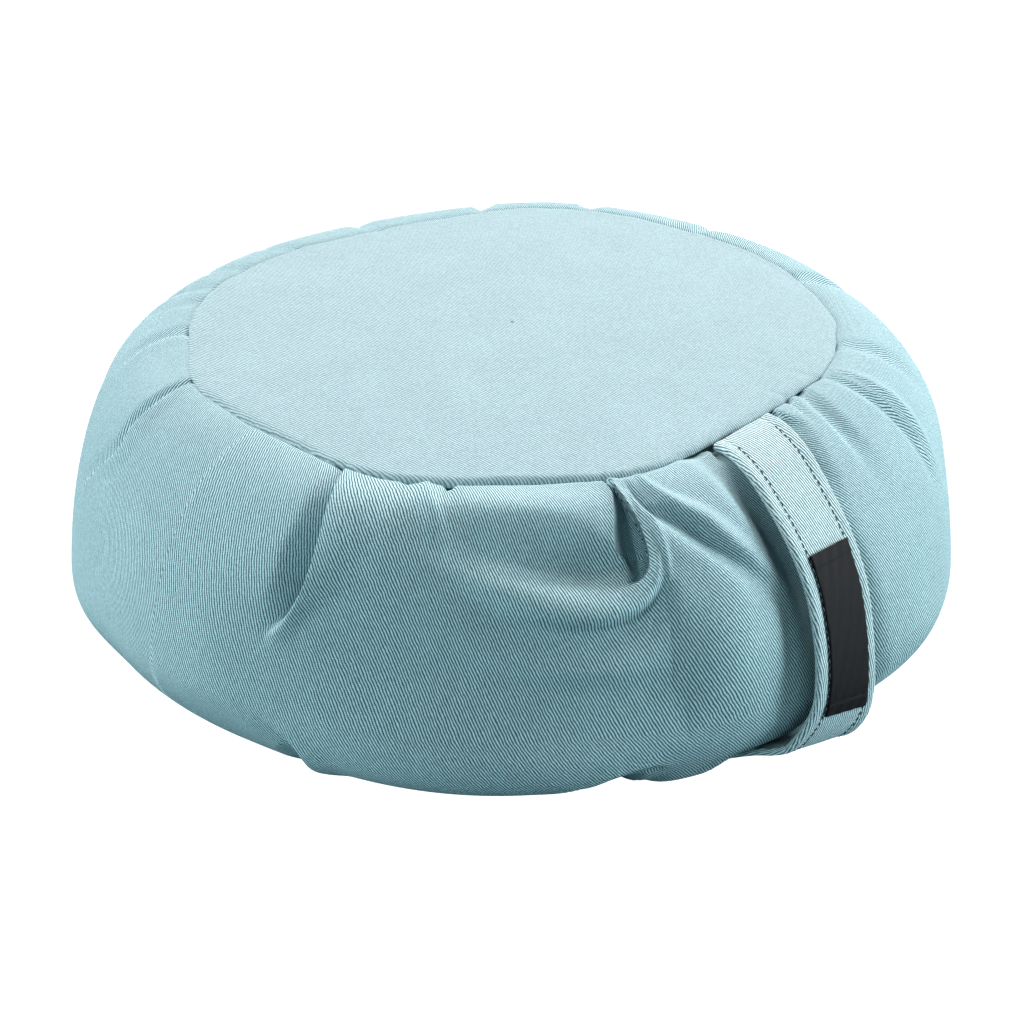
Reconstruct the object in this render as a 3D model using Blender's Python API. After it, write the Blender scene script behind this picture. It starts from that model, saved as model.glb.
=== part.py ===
"""A round zafu cushion: two panels, a pleated side band with its filling, a strap and its label.

The cushion stands on z = 0 with its centre on the Z axis. The strap faces -Y.
Angles are measured in degrees round the Z axis from the strap's side (-Y) towards +X.
"Run" is the way down the side band, from 0 at the top seam to 1 at the bottom seam.
"""

import math

import bmesh
import bpy
import numpy as np

MM = 0.001

# Driving sizes, in millimetres.
HALF_WIDTH = 191.0        # out to the widest ring of the band
WIDEST_HEIGHT = 56.5      # of the widest ring, the filling having sunk below the middle
WIDEST_RUN = 0.5          # its run down the band
TOP_SEAM_HEIGHT = 144.3
TOP_SEAM_RADIUS = 141.5   # where the seam is round, before its flats
BOTTOM_SEAM_HEIGHT = 3.6
BOTTOM_SEAM_RADIUS = 120.0
UNDERCUT = 1.55           # 1 is an ellipse from the widest ring to the bottom seam, more is flatter
CROWN = 7.0               # rise of the top panel over its seam
CROWN_POWER = 2.4         # 2 is a round dome, more is flatter in the middle
RIM_INSET = 1.0           # of the bottom panel inside its seam
RIM_WIDTH = 8.0           # of the bottom panel's edge that rises off the floor
RIM_LIFT = 0.9
CLOTH = 2.0               # two layers of twill and the seam allowance, as built
GAP = 0.40                # kept between pieces that touch
OFF_FLOOR = 0.85          # the least height of the band, which only the panel brings to the floor
SEAM_DEPTH = 3.2          # of the groove that the seam pulls
PANEL_ROLL = 15.0         # width of the panel's rim that rolls into the groove
WALL_ROLL = 5.0           # width of the band's edge that rolls into the groove
PATTERN_RADIUS = 175.0    # at which the band's pattern is laid flat for the fold table
PATTERN_LENGTH = 205.0    # of the band from seam to seam, measured over its curve

STRAP_WIDTH = 38.0
STRAP_THICKNESS = 3.0
SEAT_CLEARANCE = 1.0      # kept between the strap and the band that it presses in
SEAT_EASE = 9.0           # over which the pressed band rises again beside the strap
SEAT_REACH = 90.0         # the strap touches nothing nearer the middle than this
LABEL_WIDTH = 25.0
LABEL_THICKNESS = 1.0
EDGE_ROUNDING = 0.35      # of a ribbon's edges, as a share of its thickness

# How finely each surface is divided.
BAND_STEP = 3.0           # degrees between the band's columns of points
BAND_FINE_STEP = 1.5      # and near the deep folds
FINE_ARC = (-93.0, 33.0)  # from which angle to which the deep folds lie
RUNS_BY_TOP_SEAM = (0.012, 0.028, 0.05)
RUNS_BETWEEN = np.linspace(0.085, 0.93, 20)
RUNS_BY_BOTTOM_SEAM = (0.96, 0.985, 1.0)
RUN_NUDGE = 0.004                          # between which the band's slope is measured
CROWN_SHARES = (0.5, 0.8, 0.91, 0.965)     # rings of the panel and the filling inside the seam
BASE_SHARES = (0.985, 0.92, 0.5)           # rings of the filling's flat base
BASE_STEP = 4.0           # and between the bottom panel's
STRAP_STATIONS = 30
SHARP_EDGE = math.radians(50.0)            # a fold sharper than this is drawn as an edge

STRAIGHTNESS = 0.85       # of the seam between its corners: 1 is straight, 0 is round
SEAM_SHARPNESS = 0.35     # of the corners themselves, per millimetre
FLAT_REACH = 60.0         # degrees to either side over which a straight stretch counts

# The top seam runs nearly straight between its corners: the facing angle of each
# straight stretch and its distance from the centre.
SEAM_FLATS = (
    # (faces, distance)
    (-1.2, 124.8),
    (-45.0, 132.0),
    (-68.0, 141.0),
    (-96.0, 133.0),
    (-137.0, 138.0),
    (-178.0, 137.5),
    (30.0, 137.5),
    (62.0, 140.0),
    (92.0, 140.0),
    (156.0, 129.5),
)

# Swellings of the filling between the pleats.
LOBES = (
    # (angle, height of the middle, rise, half width in degrees, half height)
    (-57.0, 70.0, 1.5, 26.0, 70.0),
    (-54.0, 22.0, 3.0, 34.0, 34.0),
    (-98.0, 60.0, 1.6, 20.0, 60.0),
    (-122.0, 42.0, 2.8, 13.0, 42.0),
    (-142.0, 65.0, -2.0, 14.0, 60.0),
    (-164.0, 96.0, 5.6, 16.0, 46.0),
    (14.0, 34.0, 4.0, 20.0, 44.0),
    (38.0, 60.0, -2.4, 14.0, 56.0),
    (58.0, 95.0, 3.4, 22.0, 50.0),
    (88.0, 110.0, 2.4, 14.0, 40.0),
    (105.0, 70.0, 1.8, 20.0, 60.0),
    (150.0, 60.0, 1.6, 20.0, 60.0),
)

# Along each fold, as shares of its length from its first end.
FOLD_DEEPEST = 0.35
FOLD_FADES = 0.45
FOLD_RUNS_BACK = 0.2

# The folds of the band. Each is a soft trough (depth below 0) or ridge (above 0) along a
# line on the band's flat pattern, from one place to another, bowed sideways. "Start" is
# the share of the depth at the line's first end, 1 where a seam holds the fold open.
FOLDS = (
    # (from angle, from run, to angle, to run, bow, depth, left, right, start)
    # knife pleat left of the middle: a hollow under a raised flap
    (-81.5, 0.00, -83.0, 0.42, 7.0, -7.5, 22.0, 5.0, 0.30),
    (-78.0, 0.00, -79.0, 0.42, 7.0, 2.6, 5.0, 26.0, 0.50),
    # deep pleat beside the strap: its hollow, its flap and the crescent below it
    (-36.5, 0.00, -35.0, 0.33, 6.0, -12.0, 13.0, 7.0, 0.25),
    (-31.0, 0.00, -30.0, 0.42, 7.0, 3.5, 8.0, 10.0, 0.60),
    (-36.0, 0.26, -60.0, 0.17, -2.0, -3.6, 12.0, 12.0, 0.90),
    (-34.0, 0.36, -56.0, 0.26, -2.0, 2.8, 9.0, 12.0, 0.60),
    (-31.0, 0.47, -52.0, 0.41, -2.0, -1.8, 10.0, 12.0, 0.30),
    # ridges and troughs that fan out under the strap
    (-26.0, 0.00, -13.0, 0.34, 2.0, -3.6, 7.0, 7.0, 0.40),
    (-23.0, 0.00, -6.0, 0.30, 2.0, 2.4, 6.0, 8.0, 0.50),
    (-16.0, 0.02, -6.0, 0.55, 0.0, -6.0, 14.0, 22.0, 0.40),
    (-6.0, 0.10, -1.0, 0.92, 0.0, -7.5, 30.0, 22.0, 0.20),
    # crease right of the strap
    (14.5, 0.00, 24.5, 0.36, 0.0, -3.0, 9.0, 9.0, 0.55),
    (19.0, 0.00, 29.0, 0.34, 0.0, 1.4, 7.0, 14.0, 0.50),
    # puckers and soft creases round the rest of the top seam
    (-59.5, 0.00, -56.0, 0.17, 0.0, -2.2, 7.0, 7.0, 0.70),
    (-119.5, 0.00, -125.0, 0.40, 5.0, -3.0, 12.0, 4.0, 0.55),
    (-141.0, 0.00, -140.0, 0.26, 0.0, -2.4, 8.0, 8.0, 0.70),
    (-161.5, 0.00, -163.0, 0.36, 0.0, -3.6, 9.0, 5.0, 0.60),
    (-171.5, 0.00, -172.0, 0.26, 0.0, -3.0, 7.0, 6.0, 0.70),
    (176.0, 0.00, 178.0, 0.30, 0.0, -3.2, 8.0, 6.0, 0.70),
    (36.0, 0.00, 41.0, 0.28, 0.0, -2.2, 8.0, 7.0, 0.70),
    (66.0, 0.00, 64.0, 0.36, 0.0, -4.2, 10.0, 7.0, 0.60),
    (94.0, 0.00, 92.0, 0.30, 3.0, -2.6, 10.0, 6.0, 0.60),
    (116.0, 0.00, 117.0, 0.38, 0.0, -2.4, 10.0, 6.0, 0.60),
    (136.0, 0.00, 135.0, 0.30, -3.0, -2.6, 8.0, 6.0, 0.70),
    (158.0, 0.00, 159.0, 0.34, 0.0, -2.8, 10.0, 6.0, 0.60),
    # pleats that rise from the bottom seam
    (-74.0, 1.00, -82.0, 0.52, 0.0, -5.0, 6.0, 14.0, 0.60),
    (-38.0, 1.00, -31.0, 0.56, 0.0, -6.0, 12.0, 5.0, 0.60),
    (-104.0, 1.00, -101.0, 0.66, 0.0, -3.0, 8.0, 8.0, 0.70),
    (-56.0, 1.00, -57.0, 0.74, 0.0, -2.4, 7.0, 7.0, 0.80),
    (-128.0, 1.00, -125.0, 0.60, 0.0, -3.6, 10.0, 6.0, 0.60),
    (-152.0, 1.00, -154.0, 0.66, 0.0, -3.2, 8.0, 8.0, 0.70),
    (-175.0, 1.00, -173.0, 0.60, 0.0, -3.8, 10.0, 6.0, 0.60),
    (18.0, 1.00, 20.0, 0.64, 0.0, -3.4, 8.0, 8.0, 0.70),
    (42.0, 1.00, 46.0, 0.60, 0.0, -3.8, 6.0, 10.0, 0.60),
    (70.0, 1.00, 68.0, 0.66, 0.0, -3.2, 8.0, 8.0, 0.70),
    (96.0, 1.00, 99.0, 0.60, 0.0, -3.8, 6.0, 10.0, 0.60),
    (122.0, 1.00, 121.0, 0.66, 0.0, -3.2, 8.0, 8.0, 0.70),
    (148.0, 1.00, 150.0, 0.60, 0.0, -3.6, 6.0, 10.0, 0.60),
)

# The middle line of the strap's outer face, from its end in the top seam to its end in the
# bottom seam. Its right edge swings further out than its left edge and hangs lower.
STRAP_PATH = (
    # (side, out, height, swing, drop)
    (-7.0, 126.0, 143.4, 0.0, 0.0),
    (-9.0, 134.0, 143.6, 0.0, 0.0),
    (-13.0, 147.5, 140.4, 0.0, 0.5),
    (-17.0, 160.5, 132.6, 0.0, 1.2),
    (-20.0, 170.0, 125.4, 0.0, 2.0),
    (-22.5, 178.5, 117.0, 0.0, 2.5),
    (-24.3, 187.0, 103.5, 0.0, 3.0),
    (-25.7, 193.0, 86.0, 0.5, 4.0),
    (-27.0, 196.4, 68.0, 1.2, 5.0),
    (-28.0, 196.9, 52.5, 3.0, 6.5),
    (-28.8, 194.6, 42.5, 4.8, 7.5),
    (-29.8, 190.9, 35.2, 4.8, 8.0),
    (-30.4, 185.4, 28.6, 3.6, 7.0),
    (-31.0, 177.4, 25.4, 1.5, 5.5),
    (-31.8, 168.5, 23.4, 0.0, 4.0),
    (-32.6, 156.5, 18.4, 0.0, 2.0),
    (-33.2, 143.5, 11.2, 0.0, 0.5),
    (-33.6, 133.5, 5.2, 0.0, 0.0),
    (-34.0, 124.5, 1.9, 0.0, 0.0),
)
LABEL_TOP = 114.0         # heights between which the label lies on the strap
LABEL_BOTTOM = 47.5

TWILL_BLUE = (0.46, 0.68, 0.70, 1.0)
LABEL_BLACK = (0.030, 0.026, 0.030, 1.0)


def smooth(x):
    """A soft step from 0 to 1."""
    x = np.clip(x, 0.0, 1.0)
    return x * x * (3.0 - 2.0 * x)


def turn_between(angle, centre):
    """The turn from centre to angle in degrees, at most half a turn."""
    return (angle - centre + 180.0) % 360.0 - 180.0


def seam_radius(angle):
    """The top seam's distance from the centre, round with soft flats."""
    total = np.exp(-SEAM_SHARPNESS * TOP_SEAM_RADIUS * np.ones_like(angle))
    for faces, distance in SEAM_FLATS:
        turn = np.clip(turn_between(angle, faces), -FLAT_REACH, FLAT_REACH) * STRAIGHTNESS
        total = total + np.exp(-SEAM_SHARPNESS * distance / np.cos(np.radians(turn)))
    return -np.log(total) / SEAM_SHARPNESS


def swelling(angle, height):
    """How far the filling swells the band between its pleats."""
    total = np.zeros_like(angle)
    for centre, middle, rise, half_width, half_height in LOBES:
        across = np.clip(np.abs(turn_between(angle, centre)) / half_width, 0.0, 1.0)
        along = np.clip(np.abs(height - middle) / half_height, 0.0, 1.0)
        total += rise * 0.25 * (1.0 + np.cos(np.pi * across)) * (1.0 + np.cos(np.pi * along))
    return total


def band_profile(angle, run):
    """The band's plain shape: its radius and height before the folds."""
    top = seam_radius(angle)
    upper = np.clip(run / WIDEST_RUN, 0.0, 1.0) * math.pi / 2
    lower = np.clip((run - WIDEST_RUN) / (1.0 - WIDEST_RUN), 0.0, 1.0) * math.pi / 2
    rise = TOP_SEAM_HEIGHT - WIDEST_HEIGHT
    drop = WIDEST_HEIGHT - BOTTOM_SEAM_HEIGHT
    upper_radius = top + (HALF_WIDTH - top) * np.sin(upper)
    upper_height = WIDEST_HEIGHT + rise * np.cos(upper)
    undercut = (HALF_WIDTH - BOTTOM_SEAM_RADIUS) * np.abs(np.cos(lower)) ** UNDERCUT
    lower_height = WIDEST_HEIGHT - drop * np.sin(lower)
    above = run < WIDEST_RUN
    radius = np.where(above, upper_radius, BOTTOM_SEAM_RADIUS + undercut)
    height = np.where(above, upper_height, lower_height)
    return radius + swelling(angle, height), height


def fold_depth(angle, run):
    """The sum of the folds at a place on the band, in millimetres along its normal."""
    total = np.zeros_like(angle)
    for row in FOLDS:
        from_angle, from_run, to_angle, to_run, bow, depth, left, right, start = row
        along_x = math.radians(to_angle - from_angle) * PATTERN_RADIUS
        along_y = (to_run - from_run) * PATTERN_LENGTH
        line = math.hypot(along_x, along_y)
        x = np.radians(turn_between(angle, from_angle)) * PATTERN_RADIUS
        y = (run - from_run) * PATTERN_LENGTH
        u = (x * along_x + y * along_y) / line**2
        side = math.copysign(1.0, along_y)
        s = side * (x * along_y - y * along_x) / line
        s = s - bow * 4.0 * np.clip(u, 0, 1) * (1.0 - np.clip(u, 0, 1))
        rising = start + (1.0 - start) * smooth(u / FOLD_DEEPEST)
        before = start * (1.0 - smooth(-u / FOLD_RUNS_BACK))
        fading = 1.0 - smooth((u - FOLD_FADES) / (1.0 - FOLD_FADES))
        envelope = np.where(u < 0.0, before, rising * fading)
        across = np.clip(np.where(s < 0.0, s / left, s / right), -1.0, 1.0)
        total += depth * envelope * 0.5 * (1.0 + np.cos(np.pi * across))
    return total


def strap_frames():
    """The strap at even stations: its middle line, its direction across and its outward normal."""
    rows = np.array(STRAP_PATH)
    rows[:, 1] *= -1.0
    steps = np.linalg.norm(np.diff(rows[:, :3], axis=0), axis=1)
    knots = np.concatenate([[0.0], np.cumsum(steps)])
    slopes = np.gradient(rows, knots, axis=0)
    curve = []
    for station in np.linspace(0.0, knots[-1], STRAP_STATIONS):
        i = min(int(np.searchsorted(knots, station, side="right")) - 1, len(rows) - 2)
        span = knots[i + 1] - knots[i]
        f = (station - knots[i]) / span
        curve.append(
            (2 * f**3 - 3 * f**2 + 1) * rows[i]
            + (f**3 - 2 * f**2 + f) * span * slopes[i]
            + (-2 * f**3 + 3 * f**2) * rows[i + 1]
            + (f**3 - f**2) * span * slopes[i + 1]
        )
    curve = np.array(curve)
    middle, swing, drop = curve[:, :3], curve[:, 3], curve[:, 4]
    level = np.sqrt(STRAP_WIDTH**2 - swing**2 - drop**2)
    across = np.stack([level, -swing, -drop], axis=1) / STRAP_WIDTH
    normals = np.cross(across, np.gradient(middle, axis=0))
    normals /= np.linalg.norm(normals, axis=1)[:, None]
    away = np.sum(normals * (middle - (0.0, 0.0, WIDEST_HEIGHT)), axis=1)
    return middle, across, normals * np.sign(away)[:, None]


def strap_seat(points, frames):
    """How far points of the band have to sink to lie under the strap, in millimetres."""
    middle, across, normals = frames
    inner = middle - normals * STRAP_THICKNESS
    half = STRAP_WIDTH / 2
    sideways = np.clip(points[:, None, 0] - inner[None, :, 0], -half, half)
    under = inner[None, :, :] + sideways[:, :, None] * across[None, :, :]
    away = points[:, None, :] - under
    nearest = np.argmin(away[:, :, 1] ** 2 + away[:, :, 2] ** 2, axis=1)
    which = np.arange(len(points))
    beside = np.abs(points[:, 0] - inner[nearest, 0]) - half - STRAP_THICKNESS / 2
    cover = 1.0 - smooth(beside / SEAT_EASE)
    proud = np.sum(away[which, nearest] * normals[nearest], axis=1) + SEAT_CLEARANCE
    near_strap = points[:, 1] < -SEAT_REACH
    return np.where(near_strap, np.maximum(proud, 0.0) * cover, 0.0)


def band_columns():
    """The angles of the band's columns of points, closer together where the deep folds are."""
    fine_from, fine_to = FINE_ARC
    fine = np.arange(fine_from, fine_to, BAND_FINE_STEP)
    coarse = np.arange(fine_to, fine_from + 360.0, BAND_STEP)
    return np.concatenate([fine, coarse])


def panel_height(angle, radius, seam):
    """The top panel's outer face: a low crown whose rim rolls into the seam."""
    share = np.clip(radius / seam, 0.0, 1.0)
    roll = np.clip((radius - (seam - PANEL_ROLL)) / PANEL_ROLL, 0.0, 1.0)
    return TOP_SEAM_HEIGHT + CROWN * (1.0 - share**CROWN_POWER) - SEAM_DEPTH * roll**2.2


def polar(angle, radius, height):
    """Points from an angle off -Y, a radius and a height."""
    a = np.radians(angle)
    return np.stack([np.sin(a) * radius, -np.cos(a) * radius, height + 0.0 * a], axis=-1)


def material(name, colour, roughness):
    """A plain cloth material."""
    made = bpy.data.materials.new(name)
    made.use_nodes = True
    shader = made.node_tree.nodes["Principled BSDF"]
    shader.inputs["Base Color"].default_value = colour
    shader.inputs["Roughness"].default_value = roughness
    shader.inputs["Metallic"].default_value = 0.0
    return made


def add_object(name, rings, finish):
    """A closed object from rings of points in order, its ends closed onto their middles."""
    mesh = bpy.data.meshes.new(name)
    work = bmesh.new()
    rows = [[work.verts.new(point * MM) for point in ring] for ring in rings]
    for upper, lower in zip(rows[:-1], rows[1:]):
        count = len(upper)
        for i in range(count):
            j = (i + 1) % count
            work.faces.new((upper[i], lower[i], lower[j], upper[j]))
    for ring in (rows[0], rows[-1]):
        middle = work.verts.new(sum((v.co for v in ring), ring[0].co * 0.0) / len(ring))
        for i in range(len(ring)):
            work.faces.new((middle, ring[i], ring[(i + 1) % len(ring)]))
    bmesh.ops.recalc_face_normals(work, faces=work.faces)
    bmesh.ops.triangulate(work, faces=work.faces)
    for face in work.faces:
        face.smooth = True
    work.to_mesh(mesh)
    work.free()
    mesh.set_sharp_from_angle(angle=SHARP_EDGE)
    mesh.materials.append(finish)
    made = bpy.data.objects.new(name, mesh)
    bpy.context.scene.collection.objects.link(made)
    return made


def band_surface(angle, run, frames):
    """The band's outer face, with its folds, its seam grooves and the seat of the strap."""
    radius, height = band_profile(angle, run)
    further_radius, further_height = band_profile(angle, np.clip(run + RUN_NUDGE, 0.0, 1.0))
    nearer_radius, nearer_height = band_profile(angle, np.clip(run - RUN_NUDGE, 0.0, 1.0))
    along_radius = further_radius - nearer_radius
    along_height = further_height - nearer_height
    length = np.hypot(along_radius, along_height)
    depth = fold_depth(angle, run)
    radius = radius - depth * along_height / length
    height = height + depth * along_radius / length
    points = polar(angle, radius, height)
    flat = points.reshape(-1, 3)
    sink = strap_seat(flat, frames).reshape(angle.shape)
    radius = radius + sink * along_height / length
    height = height - sink * along_radius / length
    edge = np.clip(1.0 - (radius - seam_radius(angle)) / WALL_ROLL, 0.0, 1.0)
    height = height - np.where(run < WIDEST_RUN, SEAM_DEPTH * edge**2, 0.0)
    return radius, np.maximum(height, OFF_FLOOR)


def make_side_band(finish, frames):
    """The pleated band with the filling that it holds, as one closed solid."""
    columns = band_columns()
    seam = seam_radius(columns)
    rings = []
    for share in CROWN_SHARES:
        radius = seam * share
        height = panel_height(columns, radius, seam) - CLOTH - GAP
        rings.append(polar(columns, radius, height))
    floor_of_seam = panel_height(columns, seam, seam) - CLOTH - 1.5 * GAP
    rings.append(polar(columns, seam + GAP, floor_of_seam))
    _, seam_top = band_surface(columns, np.zeros_like(columns), frames)
    rings.append(polar(columns, seam + GAP, seam_top))
    for run in (*RUNS_BY_TOP_SEAM, *RUNS_BETWEEN, *RUNS_BY_BOTTOM_SEAM):
        radius, height = band_surface(columns, np.full_like(columns, run), frames)
        rings.append(polar(columns, radius, height))
    for share in BASE_SHARES:
        radius = np.full_like(columns, BOTTOM_SEAM_RADIUS * share)
        rings.append(polar(columns, radius, np.full_like(columns, CLOTH + GAP)))
    return add_object("side_band", rings, finish)


def make_top_panel(finish):
    """The domed round panel that closes the top."""
    columns = band_columns()
    seam = seam_radius(columns)
    rings = []
    for share in (*CROWN_SHARES, 1.0):
        radius = seam * share
        rings.append(polar(columns, radius, panel_height(columns, radius, seam)))
    for share in (1.0, *reversed(CROWN_SHARES)):
        radius = seam * share
        rings.append(polar(columns, radius, panel_height(columns, radius, seam) - CLOTH))
    return add_object("top_panel", rings, finish)


def make_bottom_panel(finish):
    """The round panel underneath, flat on the floor but for its rim."""
    columns = np.arange(-180.0, 180.0, BASE_STEP)
    rim = BOTTOM_SEAM_RADIUS - RIM_INSET
    flat = rim - RIM_WIDTH
    section = (
        # (radius, height)
        (flat * 0.5, 0.0),
        (flat, 0.0),
        (rim, RIM_LIFT),
        (rim, CLOTH),
        (flat * 0.5, CLOTH),
    )
    rings = []
    for radius, height in section:
        rings.append(polar(columns, np.full_like(columns, radius), np.full_like(columns, height)))
    return add_object("bottom_panel", rings, finish)


def ribbon_rings(frames, width, thickness, lift):
    """Closed cross-sections of a ribbon laid along the strap, its edges a little rounded."""
    half = width / 2
    soft = thickness * EDGE_ROUNDING
    section = (
        # (sideways, up)
        (-half, -thickness + soft),
        (-half, -soft),
        (-half + soft, 0.0),
        (half - soft, 0.0),
        (half, -soft),
        (half, -thickness + soft),
        (half - soft, -thickness),
        (-half + soft, -thickness),
    )
    rings = []
    for point, across, normal in zip(*frames):
        ring = [point + across * sideways + normal * (lift + up) for sideways, up in section]
        rings.append(np.array(ring))
    return rings


def make_handle(finish, frames):
    """The strap, standing off the band from seam to seam."""
    return add_object("handle", ribbon_rings(frames, STRAP_WIDTH, STRAP_THICKNESS, 0.0), finish)


def make_label(finish, frames):
    """The small woven label on the strap's outer face."""
    height = frames[0][:, 2]
    covered = (height < LABEL_TOP) & (height > LABEL_BOTTOM)
    label_frames = [values[covered] for values in frames]
    rings = ribbon_rings(label_frames, LABEL_WIDTH, LABEL_THICKNESS, GAP + LABEL_THICKNESS)
    return add_object("label", rings, finish)


def main():
    for existing in list(bpy.data.objects):
        bpy.data.objects.remove(existing)
    twill = material("cotton_twill", TWILL_BLUE, 0.85)
    woven_label = material("woven_label", LABEL_BLACK, 0.6)
    frames = strap_frames()
    make_side_band(twill, frames)
    make_top_panel(twill)
    make_bottom_panel(twill)
    make_handle(twill, frames)
    make_label(woven_label, frames)


main()
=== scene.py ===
"""Looks of the zafu cushion: twill, pleats, rolled seams, topstitched strap and woven label."""
import math

import bmesh
import bpy
import numpy as np
from mathutils import Matrix, Vector


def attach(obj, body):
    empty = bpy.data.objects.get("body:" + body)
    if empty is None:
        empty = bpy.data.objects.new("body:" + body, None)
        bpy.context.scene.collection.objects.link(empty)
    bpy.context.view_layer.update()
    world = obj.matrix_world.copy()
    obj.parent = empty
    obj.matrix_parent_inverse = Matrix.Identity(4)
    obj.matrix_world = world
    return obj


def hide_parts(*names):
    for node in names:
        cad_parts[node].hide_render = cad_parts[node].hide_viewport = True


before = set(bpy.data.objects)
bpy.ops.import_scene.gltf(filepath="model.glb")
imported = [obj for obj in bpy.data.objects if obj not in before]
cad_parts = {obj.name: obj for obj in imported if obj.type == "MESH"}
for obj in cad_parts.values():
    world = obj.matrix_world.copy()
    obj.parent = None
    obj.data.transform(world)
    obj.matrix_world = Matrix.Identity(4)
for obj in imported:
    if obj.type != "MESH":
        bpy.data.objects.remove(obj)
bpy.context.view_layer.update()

MM = 0.001

# Sizes of the cushion, in millimetres, as in the part's source. Angles go round from the
# strap's side, in degrees, and a run is the share of the way down the band from seam to seam.
HALF_WIDTH = 191.0
WIDEST_HEIGHT = 56.5
WIDEST_RUN = 0.5
TOP_SEAM_HEIGHT = 144.3
TOP_SEAM_RADIUS = 141.5
BOTTOM_SEAM_HEIGHT = 3.6
BOTTOM_SEAM_RADIUS = 120.0
UNDERCUT = 1.55
CROWN = 7.0
CROWN_POWER = 2.4
CLOTH = 1.4
PATTERN_RADIUS = 175.0
PATTERN_LENGTH = 205.0
STRAP_WIDTH = 38.0
STRAP_THICKNESS = 3.0
LABEL_WIDTH = 25.0
LABEL_TOP = 114.0
LABEL_BOTTOM = 47.5
SEAT_CLEARANCE = 1.0      # kept between the strap and the band that it presses in
SEAT_EASE = 9.0           # over which the pressed band rises again beside the strap
SEAT_REACH = 90.0         # the strap touches nothing nearer the middle than this
SEAT_MIDDLE = -24.0       # of the band that the strap may touch, and how far to each side
SEAT_HALF = 48.0
OFF_FLOOR = 0.85
STRAIGHTNESS = 0.85
SEAM_SHARPNESS = 0.35
FLAT_REACH = 60.0

SEAM_FLATS = (
    # (faces, distance)
    (-1.2, 124.8), (-45, 132), (-68, 141), (-96, 133), (-137, 138), (-178, 137.5), (30, 137.5), (62, 140),
    (92, 140), (156, 129.5),
)
LOBES = (
    # (angle, height of the middle, rise, half width in degrees, half height)
    (-57, 70, 1.5, 26, 70), (-54, 22, 3, 34, 34), (-98, 60, 1.6, 20, 60), (-122, 42, 2.8, 13, 42),
    (-142, 65, -2, 14, 60), (-164, 96, 5.6, 16, 46), (14, 34, 4, 20, 44), (38, 60, -2.4, 14, 56),
    (58, 95, 3.4, 22, 50), (88, 110, 2.4, 14, 40), (105, 70, 1.8, 20, 60), (150, 60, 1.6, 20, 60),
)
FOLD_DEEPEST = 0.35
FOLD_FADES = 0.45
FOLD_RUNS_BACK = 0.2
FOLDS = (
    # (from angle, from run, to angle, to run, bow, depth, left, right, start)
    (-16, 0.02, -6, 0.55, 0, -6, 14, 22, 0.4), (-6, 0.1, -1, 0.92, 0, -7.5, 30, 22, 0.2),
    (-161.5, 0, -163, 0.36, 0, -3.6, 9, 5, 0.6), (-171.5, 0, -172, 0.26, 0, -3, 7, 6, 0.7),
    (176, 0, 178, 0.3, 0, -3.2, 8, 6, 0.7), (36, 0, 41, 0.28, 0, -2.2, 8, 7, 0.7),
    (66, 0, 64, 0.36, 0, -4.2, 10, 7, 0.6), (94, 0, 92, 0.3, 3, -2.6, 10, 6, 0.6),
    (116, 0, 117, 0.38, 0, -2.4, 10, 6, 0.6), (136, 0, 135, 0.3, -3, -2.6, 8, 6, 0.7),
    (158, 0, 159, 0.34, 0, -2.8, 10, 6, 0.6), (-104, 1, -101, 0.66, 0, -3, 8, 8, 0.7),
    (-56, 1, -57, 0.74, 0, -2.4, 7, 7, 0.8), (-128, 1, -125, 0.6, 0, -3.6, 10, 6, 0.6),
    (-152, 1, -154, 0.66, 0, -3.2, 8, 8, 0.7), (-175, 1, -173, 0.6, 0, -3.8, 10, 6, 0.6),
    (18, 1, 20, 0.64, 0, -3.4, 8, 8, 0.7), (42, 1, 46, 0.6, 0, -3.8, 6, 10, 0.6),
    (70, 1, 68, 0.66, 0, -3.2, 8, 8, 0.7), (96, 1, 99, 0.6, 0, -3.8, 6, 10, 0.6),
    (122, 1, 121, 0.66, 0, -3.2, 8, 8, 0.7), (148, 1, 150, 0.6, 0, -3.6, 6, 10, 0.6),
)

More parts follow.
